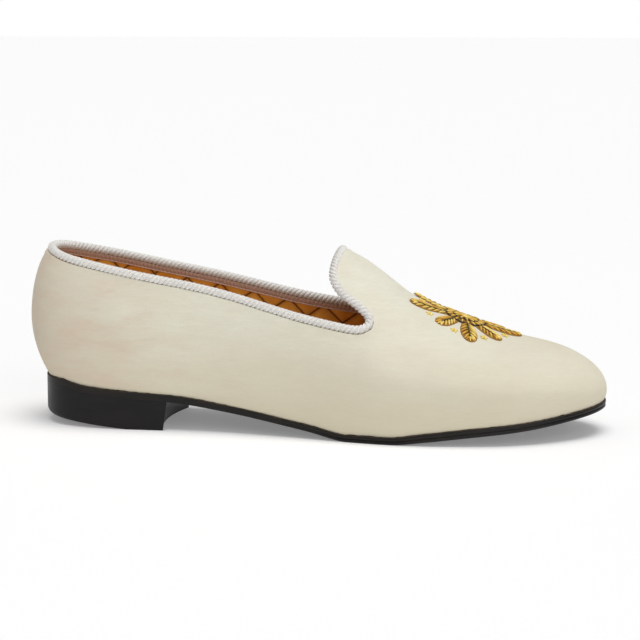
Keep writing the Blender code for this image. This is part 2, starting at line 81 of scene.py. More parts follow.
# The last, by the angle round the foot from heel to toe
LAST = (
    # angle, width, lateral, medial, bulge, belly, lean
    (0, HEEL_WIDTH, 0.000, 0.000, 1.00, 0.604, 0.00),
    (15, HEEL_WIDTH, 0.278, 0.278, 0.90, 0.590, 0.00),
    (30, HEEL_WIDTH, 0.437, 0.437, 0.64, 0.550, 0.00),
    (45, HEEL_WIDTH, 0.500, 0.490, 0.45, 0.495, 0.00),
    (60, HEEL_WIDTH, 0.505, 0.466, 0.38, 0.440, 0.00),
    (75, BALL_WIDTH, 0.370, 0.284, 0.36, 0.396, 0.04),
    (90, BALL_WIDTH, 0.448, 0.314, 0.31, 0.352, 0.10),
    (105, BALL_WIDTH, 0.534, 0.403, 0.26, 0.315, 0.12),
    (120, BALL_WIDTH, 0.538, 0.457, 0.24, 0.286, 0.08),
    (135, BALL_WIDTH, 0.474, 0.415, 0.21, 0.269, 0.03),
    (150, BALL_WIDTH, 0.335, 0.300, 0.18, 0.253, 0.00),
    (165, BALL_WIDTH, 0.178, 0.165, 0.155, 0.237, 0.00),
    (180, BALL_WIDTH, 0.000, 0.000, 0.145, 0.231, 0.00),
)

# Height of the spine as a share of INSTEP_HEIGHT, by the share of LENGTH
SPINE = (
    # along, height
    (0.00, 1.224),
    (0.20, 1.224),
    (0.37, 1.150),
    (0.47, 1.068),
    (0.543, 0.998),
    (0.590, 0.922),
    (0.630, 0.824),
    (0.671, 0.733),
    (0.718, 0.661),
    (0.789, 0.583),
    (0.856, 0.526),
    (0.923, 0.498),
    (1.000, 0.459),
)

# The sole from the side, by the share of its own length
TREAD = (
    # along, heel_share, toe_share, edge
    (0.000, 1.400, 0.000, 1.00),
    (0.040, 1.380, 0.000, 1.00),
    (0.080, 1.230, 0.000, 1.00),
    (0.160, 1.085, 0.000, 1.00),
    (0.255, 0.970, 0.000, 1.00),
    (0.352, 0.722, 0.000, 0.93),
    (0.452, 0.400, 0.000, 0.92),
    (0.505, 0.215, 0.000, 0.98),
    (0.543, 0.050, 0.000, 1.00),
    (0.562, 0.000, 0.000, 1.00),
    (0.640, 0.000, 0.000, 1.02),
    (0.700, 0.000, 0.140, 1.18),
    (0.764, 0.000, 0.315, 1.20),
    (0.879, 0.000, 0.590, 1.10),
    (1.000, 0.000, 1.000, 1.02),
)

# The sole's edge from its underside up, in shares of its height and of SOLE_GROOVE
SOLE_EDGE = (
    # up, depth, share of it left in the heel and waist
    (0.00, 1.0, 0.1),
    (0.06, 0.4, 0.1),
    (0.16, 0.0, 0.0),
    (0.34, 0.1, 0.0),
    (0.44, 0.6, 0.0),
    (0.52, 0.1, 0.0),
    (0.70, -0.2, 0.0),
    (0.88, 0.1, 0.0),
    (0.96, 0.5, 1.0),
    (1.00, 1.0, 1.0),
)

# Middle of the collar cord from the side: along the topline, then up the tongue's edge
TOPLINE = (
    # along, height, slant
    (-0.05, 1.020, 0.000),
    (0.040, 0.987, 0.000),
    (0.067, 0.960, 0.000),
    (0.107, 0.930, 0.000),
    (0.144, 0.906, 0.000),
    (0.215, 0.860, 0.000),
    (0.285, 0.820, 0.000),
    (0.362, 0.770, 0.004),
    (0.431, 0.716, 0.016),
    (0.493, 0.671, 0.026),
    (0.560, 0.633, 0.030),
    (0.585, 0.622, 0.030),
    (0.600, 0.627, 0.030),
    (0.609, 0.642, 0.030),
)
TONGUE = (
    # height, along
    (0.638, 0.609),
    (0.668, 0.610),
    (0.705, 0.600),
    (0.743, 0.585),
    (0.773, 0.570),
    (0.798, 0.559),
    (0.832, 0.549),
    (0.870, 0.542),
    (0.917, 0.541),
    (0.960, 0.543),
    (1.000, 0.547),
    (1.300, 0.560),
)

# The embroidered spray: a boss with leaves at these directions from the toe side
BOSS = 0.34
LEAVES = (
    # direction, length, half_width
    (0, 1.00, 15),
    (40, 0.86, 15),
    (80, 0.96, 15),
    (120, 0.86, 15),
    (160, 1.00, 14),
    (200, 1.00, 14),
    (240, 0.86, 15),
    (280, 0.96, 15),
    (320, 0.86, 15),
)
EMBROIDERY_ALONG = 0.758
EMBROIDERY_SHIFT = -0.001
PAD_RISE = EMBROIDERY_THICKNESS * 0.4
PAD_RINGS = (0.2, 0.4, 0.6, 0.8, 0.93, 1.0)
PAD_POINTS = 180
THREAD_LIFT = PAD_RISE + 0.0001
LEAFLET_PAIRS = 6
LEAFLET_RADIUS = 0.00062
TIP_RADIUS = 0.00058
RIB_LIFT = 0.00050
RIB_RADIUS = 0.00030
PETAL_RINGS = (
    # reach, petals
    (BOSS * 0.84, 18),
    (BOSS * 0.50, 11),
)
DARK_RINGS = (
    # reach, height, radius
    (BOSS * 1.0, 0.0002, 0.00030),
    (BOSS * 0.66, 0.0008, 0.00024),
)
KNOT_TURNS = 2.5
KNOT_RADIUS = 0.00055
STAR_REACH = 0.76
STAR_ARM = 0.0019
STAR_RADII = (0.0003, 0.0005, 0.0005, 0.0003)

# How the upper's wall is made up, by depth from its outer face
VELVET = 0.0011
LINING_FROM = 0.0012
QUILT_PUFF = 0.0012
QUILT_WIDTH = 0.0016
QUILT_ALONG = 0.0190
QUILT_UP = 0.0180

# How far each layer's edge goes under the cord
VELVET_TUCKED = 0.0004
LINING_TUCKED = 0.0003

# The tape inside the cord, and the bead below it: places from the cord's middle
TAPE_DEEP = 0.00155
TAPE_DOWN = 0.0030
TAPE_THICK = 0.0006
TAPE_WIDE = 0.0014
TAPE_RIB = 0.0021
BEAD_DEEP = 0.0018
BEAD_DOWN = 0.0045
BEAD_RADIUS = 0.00042

# The velvet's rolled edge beside the cord, and the groove of its seam
ROLL_AT = 0.0034
ROLL_WIDTH = 0.0011
ROLL_HEIGHT = 0.00060
SEAM_AT = 0.0053
SEAM_WIDTH = 0.0007
SEAM_DEPTH = 0.00060

# Main creases: soft troughs through three places, in shares of LENGTH and INSTEP_HEIGHT,
# on one side or both. Depth and width are in metres, and a ridge has a negative depth.
CREASES = (
    # side, start, middle, end, depth, width
    (0, (0.655, 0.790), (0.660, 0.660), (0.672, 0.520), 0.00076, 0.0050),
    (0, (0.690, 0.720), (0.694, 0.620), (0.700, 0.520), 0.00042, 0.0040),
    (0, (0.625, 0.600), (0.655, 0.500), (0.690, 0.400), 0.00076, 0.0060),
    (0, (0.600, 0.560), (0.585, 0.450), (0.575, 0.360), 0.00042, 0.0045),
    (-1, (0.705, 0.350), (0.722, 0.260), (0.728, 0.170), 0.00042, 0.0060),
    (1, (0.690, 0.360), (0.700, 0.260), (0.705, 0.170), 0.00051, 0.0060),
    (-1, (0.280, 0.560), (0.420, 0.480), (0.560, 0.430), 0.00068, 0.0110),
    (1, (0.260, 0.560), (0.400, 0.500), (0.540, 0.460), 0.00076, 0.0120),
    (0, (0.150, 0.760), (0.190, 0.620), (0.205, 0.400), -0.00042, 0.0060),
)
CREASE_BORDER = 0.35
CORNER_REACH = 0.022
BACK_SEAM_DEPTH = 0.00040
BACK_SEAM_WIDTH = 0.0012
BACK_SEAM_END = 0.03
SWELL = 0.00026
SWELL_SIZE = 0.028
NAP_EDGE = 0.00040
NAP_SIZE = 0.0016

# Fuller toe and heel: how much, from and to which place along, from and to which height
TOE_FULLNESS = (0.0011, 0.82 * LENGTH, 0.97 * LENGTH, 0.020, 0.034)
HEEL_FULLNESS = (0.0009, 0.05, 0.0, 0.060, 0.085)

# The sole's parts that only show here: the heel's rounded edge, and the brown line by the velvet, which
# paints the shadow under the velvet's edge
WORN_EDGE = 0.0026
FRESH_EDGE = 0.0006
HEEL_ROUNDING = (0.92, 0.80, 0.64, 0.45, 0.22)
PLATE_GAP = 0.00005
SOCK_LIFT = 0.0003
SOCK_EDGE = 0.0007
FEATHER_INSET = 0.0003
FEATHER_RADIUS = 0.00030
FEATHER_ROUGH = 0.0012

# The twisted cord
STRANDS = 3
CORD_LAY = 0.0071
STRAND_DEPTH = 0.00130
STRAND_CROWN = 0.00012
PLY_DEPTH = 0.00016
CORD_STEP = 0.00042
CORD_SIDES = 36
CORD_SMOOTHING = 0.0012

# How the collar's line is looked for: angles round the foot and levels up the wall
TOPLINE_ANGLES = np.linspace(0, math.radians(128), 520)
TOPLINE_TOP = 0.80
TONGUE_LEVELS = np.linspace(0.3, 1.0, 320)
TONGUE_ANGLES = (1.2, 2.4)
TONGUE_START = 0.0005

# Steps that the lofts are made with
STATIONS = 220
TUCK_LEVELS = 16
SIDE_LEVELS = 42
SLOPE_STEP = 0.003
CUT_REACH = 0.09
HEEL_STEPS = (60, 28, 10)
PLATE_STEPS = 150
PLATE_ACROSS = 14
SOLE_LEVELS = 28
FEATHER_STEPS = 400
TAPE_SIDES = 14
TUBE_SIDES = 8
WELD = 0.0000001
PLATE_WELD = 0.000004

# Camera and light
CAMERA_YAW = 8.4
CAMERA_PITCH = 8.6
CAMERA_DISTANCE = 1.080
CAMERA_FOCUS = (0.1512, 0.0, 0.0537)
FOCAL_PIXELS = 2101
FRAME_PIXELS = 640
SENSOR_WIDTH = 36.0
FLOOR_REACH = 12.0
WORLD_LIGHT = 0.28
SUNS = (
    # name, strength, spread, direction
    ("key", 1.90, 40, (-0.10, 0.10, -1.0)),
    ("fill", 0.80, 60, (-0.50, 0.85, -0.30)),
)

LATERAL = -1
MEDIAL = 1


class Curve:
    """A smooth curve through rows of a table, with flat, free or never-overshooting slopes."""

    def __init__(self, xs, ys, ends="free"):
        self.xs = np.array(xs, float)
        self.ys = np.array(ys, float)
        step = np.diff(self.xs)
        rise = np.diff(self.ys) / step
        if ends == "monotone":
            self.slopes = self.monotone(step, rise)
        else:
            self.slopes = self.even(step, rise, ends)

    def monotone(self, step, rise):
        slopes = np.zeros(len(self.xs))
        for i in range(1, len(step)):
            if rise[i - 1] * rise[i] > 0:
                before = 2 * step[i] + step[i - 1]
                after = step[i] + 2 * step[i - 1]
                slopes[i] = (before + after) / (before / rise[i - 1] + after / rise[i])
        slopes[0] = rise[0]
        slopes[-1] = rise[-1]
        return slopes

    def even(self, step, rise, ends):
        count = len(self.xs)
        matrix = np.zeros((count, count))
        right = np.zeros(count)
        for i in range(1, count - 1):
            matrix[i, i - 1] = 1 / step[i - 1]
            matrix[i, i] = 2 * (1 / step[i - 1] + 1 / step[i])
            matrix[i, i + 1] = 1 / step[i]
            right[i] = 3 * (rise[i - 1] / step[i - 1] + rise[i] / step[i])
        for row, near, slope in ((0, 1, rise[0]), (count - 1, count - 2, rise[-1])):
            matrix[row, row] = 1 if ends == "flat" else 2
            matrix[row, near] = 0 if ends == "flat" else 1
            right[row] = 0 if ends == "flat" else 3 * slope
        return np.linalg.solve(matrix, right)

    def __call__(self, x):
        x = np.clip(np.asarray(x, float), self.xs[0], self.xs[-1])
        i = np.clip(np.searchsorted(self.xs, x) - 1, 0, len(self.xs) - 2)
        step = self.xs[i + 1] - self.xs[i]
        t = (x - self.xs[i]) / step
        start = self.ys[i] * (1 + 2 * t) * (1 - t) ** 2 + self.slopes[i] * step * t * (1 - t) ** 2
        end = self.ys[i + 1] * t * t * (3 - 2 * t) + self.slopes[i + 1] * step * t * t * (t - 1)
        return start + end


# Curves of the last
angles = [math.radians(row[0]) for row in LAST]
half_width = {
    LATERAL: Curve(angles, [row[1] * row[2] for row in LAST]),
    MEDIAL: Curve(angles, [row[1] * row[3] for row in LAST]),
}
bulge_at = Curve(angles, [HEEL_BULGE * row[4] for row in LAST], "flat")
belly_at = Curve(angles, [COLLAR_HEIGHT * row[5] for row in LAST], "flat")
lean_at = Curve(angles, [row[6] for row in LAST], "flat")
spine_at = Curve([LENGTH * row[0] for row in SPINE], [INSTEP_HEIGHT * row[1] for row in SPINE])

# Curves of the sole
SOLE_BACK = HEEL_BULGE * LAST[0][4]
SOLE_FRONT = LENGTH - HEEL_BULGE * LAST[-1][4]
SOLE_LENGTH = SOLE_FRONT - SOLE_BACK
along_sole = [SOLE_BACK + SOLE_LENGTH * row[0] for row in TREAD]
under_at = Curve(along_sole, [HEEL_HEIGHT * row[1] + TOE_SPRING * row[2] for row in TREAD], "monotone")
edge_at = Curve(along_sole, [SOLE_THICKNESS * row[3] for row in TREAD], "monotone")
edge_depth_at = Curve([row[0] for row in SOLE_EDGE], [row[1] for row in SOLE_EDGE], "monotone")
edge_kept_at = Curve([row[0] for row in SOLE_EDGE], [row[1] * row[2] for row in SOLE_EDGE], "monotone")

# Curves of the collar, seen from the side
topline_at = Curve([LENGTH * row[0] for row in TOPLINE], [COLLAR_HEIGHT * row[1] for row in TOPLINE])
slant_at = Curve([LENGTH * row[0] for row in TOPLINE], [row[2] for row in TOPLINE], "monotone")
tongue_at = Curve([INSTEP_HEIGHT * row[0] for row in TONGUE], [LENGTH * row[1] for row in TONGUE])
CORNER = LENGTH * TOPLINE[-1][0]


def unit(vectors):
    return vectors / np.linalg.norm(vectors, axis=-1, keepdims=True)


def feather_height(x):
    """Height of the line where upper and sole meet."""
    return under_at(x) + edge_at(x)


def feather(side, angle, margin=0.0):
    """Plan outline of the feather edge, moved outwards by a margin."""
    def outline(a):
        return SOLE_BACK + SOLE_LENGTH * (1 - np.cos(a)) / 2, side * half_width[side](a)

    x, y = outline(angle)
    small = 0.002
    x_after, y_after = outline(np.minimum(angle + small, math.pi))
    x_before, y_before = outline(np.maximum(angle - small, 0.0))
    dx = x_after - x_before
    dy = y_after - y_before
    size = np.hypot(dx, dy)
    at_end = (angle < small) | (angle > math.pi - small)
    normal_x = np.where(at_end, np.where(angle < 1, -1.0, 1.0), -side * dy / size)
    normal_y = np.where(at_end, 0.0, side * dx / size)
    return x + margin * normal_x, y + margin * normal_y


def wall(side, angle, level):
    """Point of the upper's outer face: level 0 at the feather edge, 1 on the spine."""
    angle = np.asarray(angle, float)
    level = np.asarray(level, float)
    fx, fy = feather(side, angle)
    bx, by = feather(side, angle, bulge_at(angle))
    fz = feather_height(fx)
    bz = belly_at(angle)
    share = (1 - np.cos(angle)) / 2
    tx = SPINE_BACK + (LENGTH - SPINE_FRONT - SPINE_BACK) * share
    ty = SPINE_SHIFT * np.sin(angle)
    low = np.clip(level / TUCK, 0, 1)
    out = 1 - (1 - low) ** 2
    turn = np.clip((level - TUCK) / (1 - TUCK), 0, 1) * math.pi / 2
    reach = np.cos(turn) * (1 - lean_at(angle) * np.sin(turn) ** 2)
    x = np.where(level < TUCK, fx + (bx - fx) * out, tx + (bx - tx) * reach)
    y = np.where(level < TUCK, fy + (by - fy) * out, ty + (by - ty) * reach)
    z = np.where(level < TUCK, fz + (bz - fz) * low, bz + (spine_at(x) - bz) * np.sin(turn))
    return np.stack([x, y, z], axis=-1)


def wall_normal(side, angle, level):
    """Outward direction of the upper's outer face."""
    small = 0.003
    along = wall(side, np.minimum(angle + small, math.pi), level)
    along = along - wall(side, np.maximum(angle - small, 0), level)
    up = wall(side, angle, np.minimum(level + small, 1)) - wall(side, angle, np.maximum(level - small, 0))
    return unit(np.cross(along, up) * -side)


def wall_offset(side, angle, level, distance):
    """Point that lies this far outside the upper's outer face."""
    distance = np.asarray(distance, float)[..., None]
    return wall(side, angle, level) + wall_normal(side, angle, level) * distance


def plan_middle():
    """How far the middle of the shoe's plan lies from the heel's middle line."""
    angle = np.linspace(0, math.pi, 361)
    lateral = wall(LATERAL, angle, TUCK)[:, 1].min()
    medial = wall(MEDIAL, angle, TUCK)[:, 1].max()
    return float(lateral + medial) / 2


ORIGIN = np.array([upper_low.x, -plan_middle(), 0.0])


# Small helpers for meshes

def quads(lower, upper):
    """Faces between two rings of vertex numbers."""
    return np.stack([lower, np.roll(lower, -1), np.roll(upper, -1), upper], axis=1)


def grid_faces(number, flip=False):
    """Faces of a grid of vertex numbers."""
    corners = number[:-1, :-1], number[1:, :-1], number[1:, 1:], number[:-1, 1:]
    faces = np.stack(corners, axis=-1).reshape(-1, 4)
    return list(faces[:, ::-1] if flip else faces)


def band(rings, flip=False):
    """Faces that join rings of vertex numbers, each to the next."""
    faces = np.vstack([quads(lower, upper) for lower, upper in zip(rings, rings[1:])])
    return list(faces[:, ::-1] if flip else faces)


def in_scene(name, data):
    """A new object, linked to the scene."""
    made = bpy.data.objects.new(name, data)
    bpy.context.scene.collection.objects.link(made)
    return made


def mesh_from(name, points, faces, sharp=None, welded=0.0):
    """A mesh from points of the last's frame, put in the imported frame."""
    mesh = bpy.data.meshes.new(name)
    mesh.from_pydata((np.asarray(points) + ORIGIN).tolist(), [], [list(map(int, face)) for face in faces])
    if welded:
        bm = bmesh.new()
        bm.from_mesh(mesh)
        bmesh.ops.remove_doubles(bm, verts=bm.verts, dist=welded)
        bmesh.ops.recalc_face_normals(bm, faces=bm.faces)
        bm.to_mesh(mesh)
        bm.free()
    mesh.shade_smooth()
    if sharp:
        mesh.set_sharp_from_angle(angle=math.radians(sharp))
    return mesh


def add_values(mesh, name, numbers):
    """A number for each point, which a material reads by this name."""
    mesh.attributes.new(name, "FLOAT", "POINT").data.foreach_set("value", numbers)


def noise_at(points, size):
    """Smooth noise from -1 to 1 with features of this size, at each point."""
    return np.array([noise.noise(Vector(p / size)) for p in points])


def add_piece(name, mesh, finish, slot, *nodes):
    """A piece of the shoe, which stands for these solids."""
    piece = in_scene(name, mesh)
    mesh.materials.clear()
    mesh.materials.append(finish)
    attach(piece, "root")
    if nodes:
        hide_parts(*nodes)
    return piece


def cut(mesh, cutter):
    """The mesh less what the cutter holds."""
    holder = in_scene("holder", mesh)
    modifier = holder.modifiers.new("cut", "BOOLEAN")
    modifier.operation = "DIFFERENCE"
    modifier.solver = "EXACT"
    modifier.object = cutter
    bpy.context.view_layer.update()
    shaped = holder.evaluated_get(bpy.context.evaluated_depsgraph_get())
    made = bpy.data.meshes.new_from_object(shaped)
    bpy.data.objects.remove(holder)
    bpy.data.objects.remove(cutter)
    made.shade_smooth()
    made.set_sharp_from_angle(angle=math.radians(50))
    return made


# The collar's line

def halve(test, low, high, rounds=40):
    """Where a rising test crosses zero, for arrays of lower and upper limits."""
    for _ in range(rounds):
        middle = (low + high) / 2
        above = test(middle) > 0
        high = np.where(above, middle, high)
        low = np.where(above, low, middle)
    return (low + high) / 2


def run_along(points):
    """Distance from the first row of points to each row."""
    steps = np.linalg.norm(np.diff(points, axis=0), axis=-1)
    return np.concatenate([np.zeros_like(steps[:1]), np.cumsum(steps, axis=0)])


def side_height(point):
    """Height of points with the collar's slant taken out."""
    return point[:, 2] - slant_at(point[:, 0]) * point[:, 1]


def collar_line(side):
    """The cord's middle on one side with the wall's normals there, from heel to tongue."""
    def in_wall(angle, level):
        return wall_offset(side, angle, level, -WALL / 2)

    def over_topline(level):
        point = in_wall(TOPLINE_ANGLES, level)
        return side_height(point) - topline_at(point[:, 0])

    def past_tongue(angle):
        point = in_wall(angle, TONGUE_LEVELS)
        return point[:, 0] - tongue_at(side_height(point))

    def rows(angle, level):
        return np.hstack([in_wall(angle, level), wall_normal(side, angle, level)])

    flat = np.ones(len(TOPLINE_ANGLES))
    rear = rows(TOPLINE_ANGLES, halve(over_topline, flat * TUCK, flat * TOPLINE_TOP))
    rear = rear[rear[:, 0] < CORNER]
    flat = np.ones(len(TONGUE_LEVELS))
    front = rows(halve(past_tongue, flat * TONGUE_ANGLES[0], flat * TONGUE_ANGLES[1]), TONGUE_LEVELS)
    front = front[side_height(front) > INSTEP_HEIGHT * TONGUE[0][0] + TONGUE_START]
    return np.vstack([rear, front])


def cord_path():
    """The closed line of the cord with the wall's normals, at even steps and smoothed."""
    rows = np.vstack([collar_line(LATERAL), collar_line(MEDIAL)[::-1][1:-1]])
    line = np.vstack([rows, rows[:1]])
    run = run_along(line[:, :3])
    count = int(run[-1] / CORD_STEP)
    stops = np.linspace(0, run[-1], count + 1)[:-1]
    even = np.stack([np.interp(stops, run, line[:, axis]) for axis in range(6)], axis=1)
    spread = int(round(CORD_SMOOTHING / CORD_STEP)) + 1
    for _ in range(3):
        even = sum(np.roll(even, shift, axis=0) for shift in range(-spread, spread + 1)) / (2 * spread + 1)
    even[:, 3:] = unit(even[:, 3:])
    return even


cord_rows = cord_path()


def opening_cutter(offset):
    """A block that cuts the opening, its outline this far outside the cord's middle line."""
    rear = np.linspace(LENGTH * TOPLINE[0][0], CORNER, 150)
    up = np.linspace(INSTEP_HEIGHT * TONGUE[0][0], INSTEP_HEIGHT * TONGUE[-1][0], 90)
    line = np.vstack([np.stack([rear, topline_at(rear)], axis=1),
                      np.stack([tongue_at(up), up], axis=1)[1:]])
    tangent = unit(np.gradient(line, axis=0))
    outline = line + np.stack([tangent[:, 1], -tangent[:, 0]], axis=1) * offset
    outline = np.vstack([outline, [(outline[0][0], outline[-1][1])]])
    x, z = outline.T
    points = [np.stack([x, np.full(len(x), y), z + slant_at(x) * y], axis=1) for y in (-CUT_REACH, CUT_REACH)]
    count = len(outline)
    faces = list(quads(np.arange(count), np.arange(count) + count))
    faces += [range(count), range(2 * count - 1, count - 1, -1)]
    return in_scene("opening_cutter", mesh_from("opening_cutter", np.vstack(points), faces, welded=WELD))


# Shells of the upper's wall

round_angles = np.linspace(0, math.pi, STATIONS + 1)
wall_levels = np.concatenate([
    np.linspace(0, TUCK, TUCK_LEVELS + 1)[:-1],
    np.linspace(TUCK, 1, SIDE_LEVELS + 1),
])


def last_grid():
    """Sides, angles and levels of all points of a shell's face, ring by ring, spine last."""
    sides = np.concatenate([np.full(STATIONS + 1, LATERAL), np.full(STATIONS - 1, MEDIAL)])
    turn = np.concatenate([round_angles, round_angles[-2:0:-1]])
    rings = len(wall_levels) - 1
    side = np.concatenate([np.tile(sides, rings), np.full(STATIONS + 1, LATERAL)])
    angle = np.concatenate([np.tile(turn, rings), round_angles])
    level = np.concatenate([np.repeat(wall_levels[:-1], 2 * STATIONS), np.ones(STATIONS + 1)])
    return side, angle, level


def last_rings():
    """Vertex numbers of a shell's face, ring by ring; the last ring folds along the spine."""
    count = 2 * STATIONS
    rings = [np.arange(count) + count * k for k in range(len(wall_levels) - 1)]
    line = np.arange(STATIONS + 1) + count * len(rings)
    rings.append(np.concatenate([line, line[-2:0:-1]]))
    return rings


def on_last(side, angle, level):
    """Points and normals on the last, for arrays that hold both sides."""
    point, normal = (
        np.where((side == LATERAL)[:, None], at(LATERAL, angle, level), at(MEDIAL, angle, level))
        for at in (wall, wall_normal)
    )
    # At the spine's front end the grids of the two sides run together, so its slope gives the normal.
    slope = (spine_at(point[:, 0] + SLOPE_STEP) - spine_at(point[:, 0] - SLOPE_STEP)) / (2 * SLOPE_STEP)
    ridge = unit(np.stack([-slope, np.zeros(len(slope)), np.ones(len(slope))], axis=1))
    share = (smooth(level, 0.90, 0.96) * smooth(angle, 2.70, 2.95))[:, None]
    return point, unit(normal * (1 - share) + ridge * share)


def shell_mesh(name, outer_points, inner_points, offset, values=None):
    """A closed shell between two faces of the last grid, with the opening cut out."""
    rings = last_rings()
    count = len(outer_points)
    faces = []
    for lower, upper in zip(rings, rings[1:]):
        faces.append(quads(lower, upper))
        faces.append(quads(lower + count, upper + count)[:, ::-1])
    bottom = rings[0]
    faces.append(quads(bottom, bottom + count)[:, ::-1])
    mesh = mesh_from(name, np.vstack([outer_points, inner_points]), np.vstack(faces))
    for key, numbers in (values or {}).items():
        add_values(mesh, key, numbers)
    return cut(mesh, opening_cutter(offset))


def bell(value):
    return np.exp(-value ** 2)


def smooth(value, low, high):
    """0 below the lower limit, 1 above the upper one, and a soft step between."""
    share = np.clip((value - low) / (high - low), 0, 1)
    return share ** 2 * (3 - 2 * share)


def crease_depth(point, side):
    """How deep the main creases draw the velvet in."""
    depth = np.zeros(len(point))
    flat = point[:, [0, 2]]
    t = np.linspace(0, 1, 40)[:, None]
    size = np.array([LENGTH, INSTEP_HEIGHT])
    for on_side, start, middle, end, deep, width in CREASES:
        line = ((1 - t) ** 2 * start + 2 * t * (1 - t) * np.array(middle) + t * t * np.array(end)) * size
        gap = np.linalg.norm(flat[:, None, :] - line[None], axis=2)
        nearest = gap.argmin(axis=1)
        distance = gap.min(axis=1) / width
        fade = np.sin(math.pi * np.clip(t[nearest, 0] * 0.86 + 0.07, 0, 1)) ** 0.8
        trough = bell(distance) - CREASE_BORDER * bell(distance - 2.1)
        depth += np.where((side == on_side) | (on_side == 0), deep * fade * trough, 0)
    return depth


def cord_distance(point):
    """Distance of points from the cord's middle line."""
    tree = kdtree.KDTree(len(cord_rows))
    for i, row in enumerate(cord_rows):
        tree.insert(row[:3], i)
    tree.balance()
    return np.array([tree.find(p)[2] for p in point])


def fullness(point, along, sizes):
    """A soft swelling towards one end of the shoe."""
    most, start, end, low, high = sizes
    return most * smooth(along * point[:, 0], along * start, along * end) * smooth(point[:, 2], low, high)


def velvet_relief(point, side):
    """How far the velvet stands out from the last."""
    distance = cord_distance(point)
    strength = 0.45 + 0.55 * bell((point[:, 0] - CORNER) / CORNER_REACH)
    height = ROLL_HEIGHT * strength * bell((distance - ROLL_AT) / ROLL_WIDTH)
    height -= SEAM_DEPTH * strength * bell((distance - SEAM_AT) / SEAM_WIDTH)
    height -= crease_depth(point, side)
    height -= BACK_SEAM_DEPTH * np.where(point[:, 0] < BACK_SEAM_END, bell(point[:, 1] / BACK_SEAM_WIDTH), 0)
    height += fullness(point, 1, TOE_FULLNESS) + fullness(point, -1, HEEL_FULLNESS)
    return height + SWELL * noise_at(point, SWELL_SIZE)


def build_velvet():
    side, angle, level = last_grid()
    point, normal = on_last(side, angle, level)
    outer = point + normal * velvet_relief(point, side)[:, None]
    outer[:, 2] += NAP_EDGE * noise_at(point, NAP_SIZE) * (level < 0.5 * TUCK / TUCK_LEVELS)
    inner = point - normal * VELVET
    mesh = shell_mesh("velvet_upper", outer, inner, CORD_DIAMETER / 2 - VELVET_TUCKED)
    add_piece("velvet_upper", mesh, velvet_finish(), "velvet", "upper")


def climb():
    """Distance up the wall at each point of the last's grid, alike from both sides on the spine."""
    arcs = {}
    for side in (LATERAL, MEDIAL):
        arcs[side] = run_along(np.stack([wall(side, round_angles, level) for level in wall_levels]))
    whole = (arcs[LATERAL][-1] + arcs[MEDIAL][-1]) / 2
    lateral, medial = (arcs[side] * whole / arcs[side][-1] for side in (LATERAL, MEDIAL))
    rings = [np.concatenate([a, b[-2:0:-1]]) for a, b in zip(lateral[:-1], medial[:-1])]
    return np.concatenate([*rings, lateral[-1]])


def build_lining():
    """The padded lining, sewn in diamonds."""
    side, angle, level = last_grid()
    point, normal = on_last(side, angle, level)
    lateral, medial = (
        np.interp(angle, round_angles, run_along(wall(way, round_angles, TUCK))) for way in (LATERAL, MEDIAL)
    )
    along = np.where(side == LATERAL, lateral, medial) / QUILT_ALONG
    up = climb() / QUILT_UP
    half_cell = 0.5 * QUILT_ALONG * QUILT_UP / math.hypot(QUILT_ALONG, QUILT_UP)
    gap = np.maximum(np.abs((along + up) % 1 - 0.5), np.abs((along - up) % 1 - 0.5))
    distance = (0.5 - gap) * 2 * half_cell
    sewn = bell(distance / QUILT_WIDTH)
    inner = point - normal * (WALL + QUILT_PUFF * (0.5 - sewn))[:, None]
    outer = point - normal * LINING_FROM
    diagonals = {"rising": np.tile(along + up, 2), "falling": np.tile(along - up, 2)}
    mesh = shell_mesh("quilted_lining", outer, inner, CORD_DIAMETER / 2 - LINING_TUCKED, diagonals)
    lining = add_piece("quilted_lining", mesh, lining_finish(), "lining", "upper")


# Tubes

def transported(path, closed=True):
    """Tangents and two cross directions along a path, without twist, and the turn left over."""
    ahead = np.roll(path, -1, axis=0) - np.roll(path, 1, axis=0)
    if not closed:
        ahead[0] = path[1] - path[0]
        ahead[-1] = path[-1] - path[-2]
    tangent = unit(ahead)
    first = np.cross(tangent[0], (0.0, 1.0, 0.0))
    if np.linalg.norm(first) < 0.3:
        first = np.cross(tangent[0], (0.0, 0.0, 1.0))
    across = [first / np.linalg.norm(first)]
    for direction in tangent[1:]:
        carried = across[-1] - direction * np.dot(across[-1], direction)
        across.append(carried / np.linalg.norm(carried))
    across = np.array(across)
    other = np.cross(tangent, across)
    carried = across[-1] - tangent[0] * np.dot(across[-1], tangent[0])
    turn = math.atan2(np.dot(carried, other[0]), np.dot(carried, across[0]))
    return tangent, across, other, turn


def rings_round(path, across, other, around, radius):
    """Points of rings round a path, with an angle and a radius for each ring and side."""
    ring = np.cos(around)[..., None] * across[:, None] + np.sin(around)[..., None] * other[:, None]
    return (path[:, None] + ring * radius[..., None]).reshape(-1, 3)


def ring_numbers(count, sides):
    return [np.arange(sides) + sides * i for i in range(count)]


def strand_radius(share):
    """Radius of the cord at a place round it, as a share of one turn."""
    inside = np.abs((share * STRANDS + 0.5) % 1 - 0.5) * 2
    groove = STRAND_DEPTH * (1 - np.sqrt(1 - (0.95 * inside) ** 2))
    ply = PLY_DEPTH * bell(inside / 0.16)
    return CORD_DIAMETER / 2 + STRAND_CROWN - groove - ply


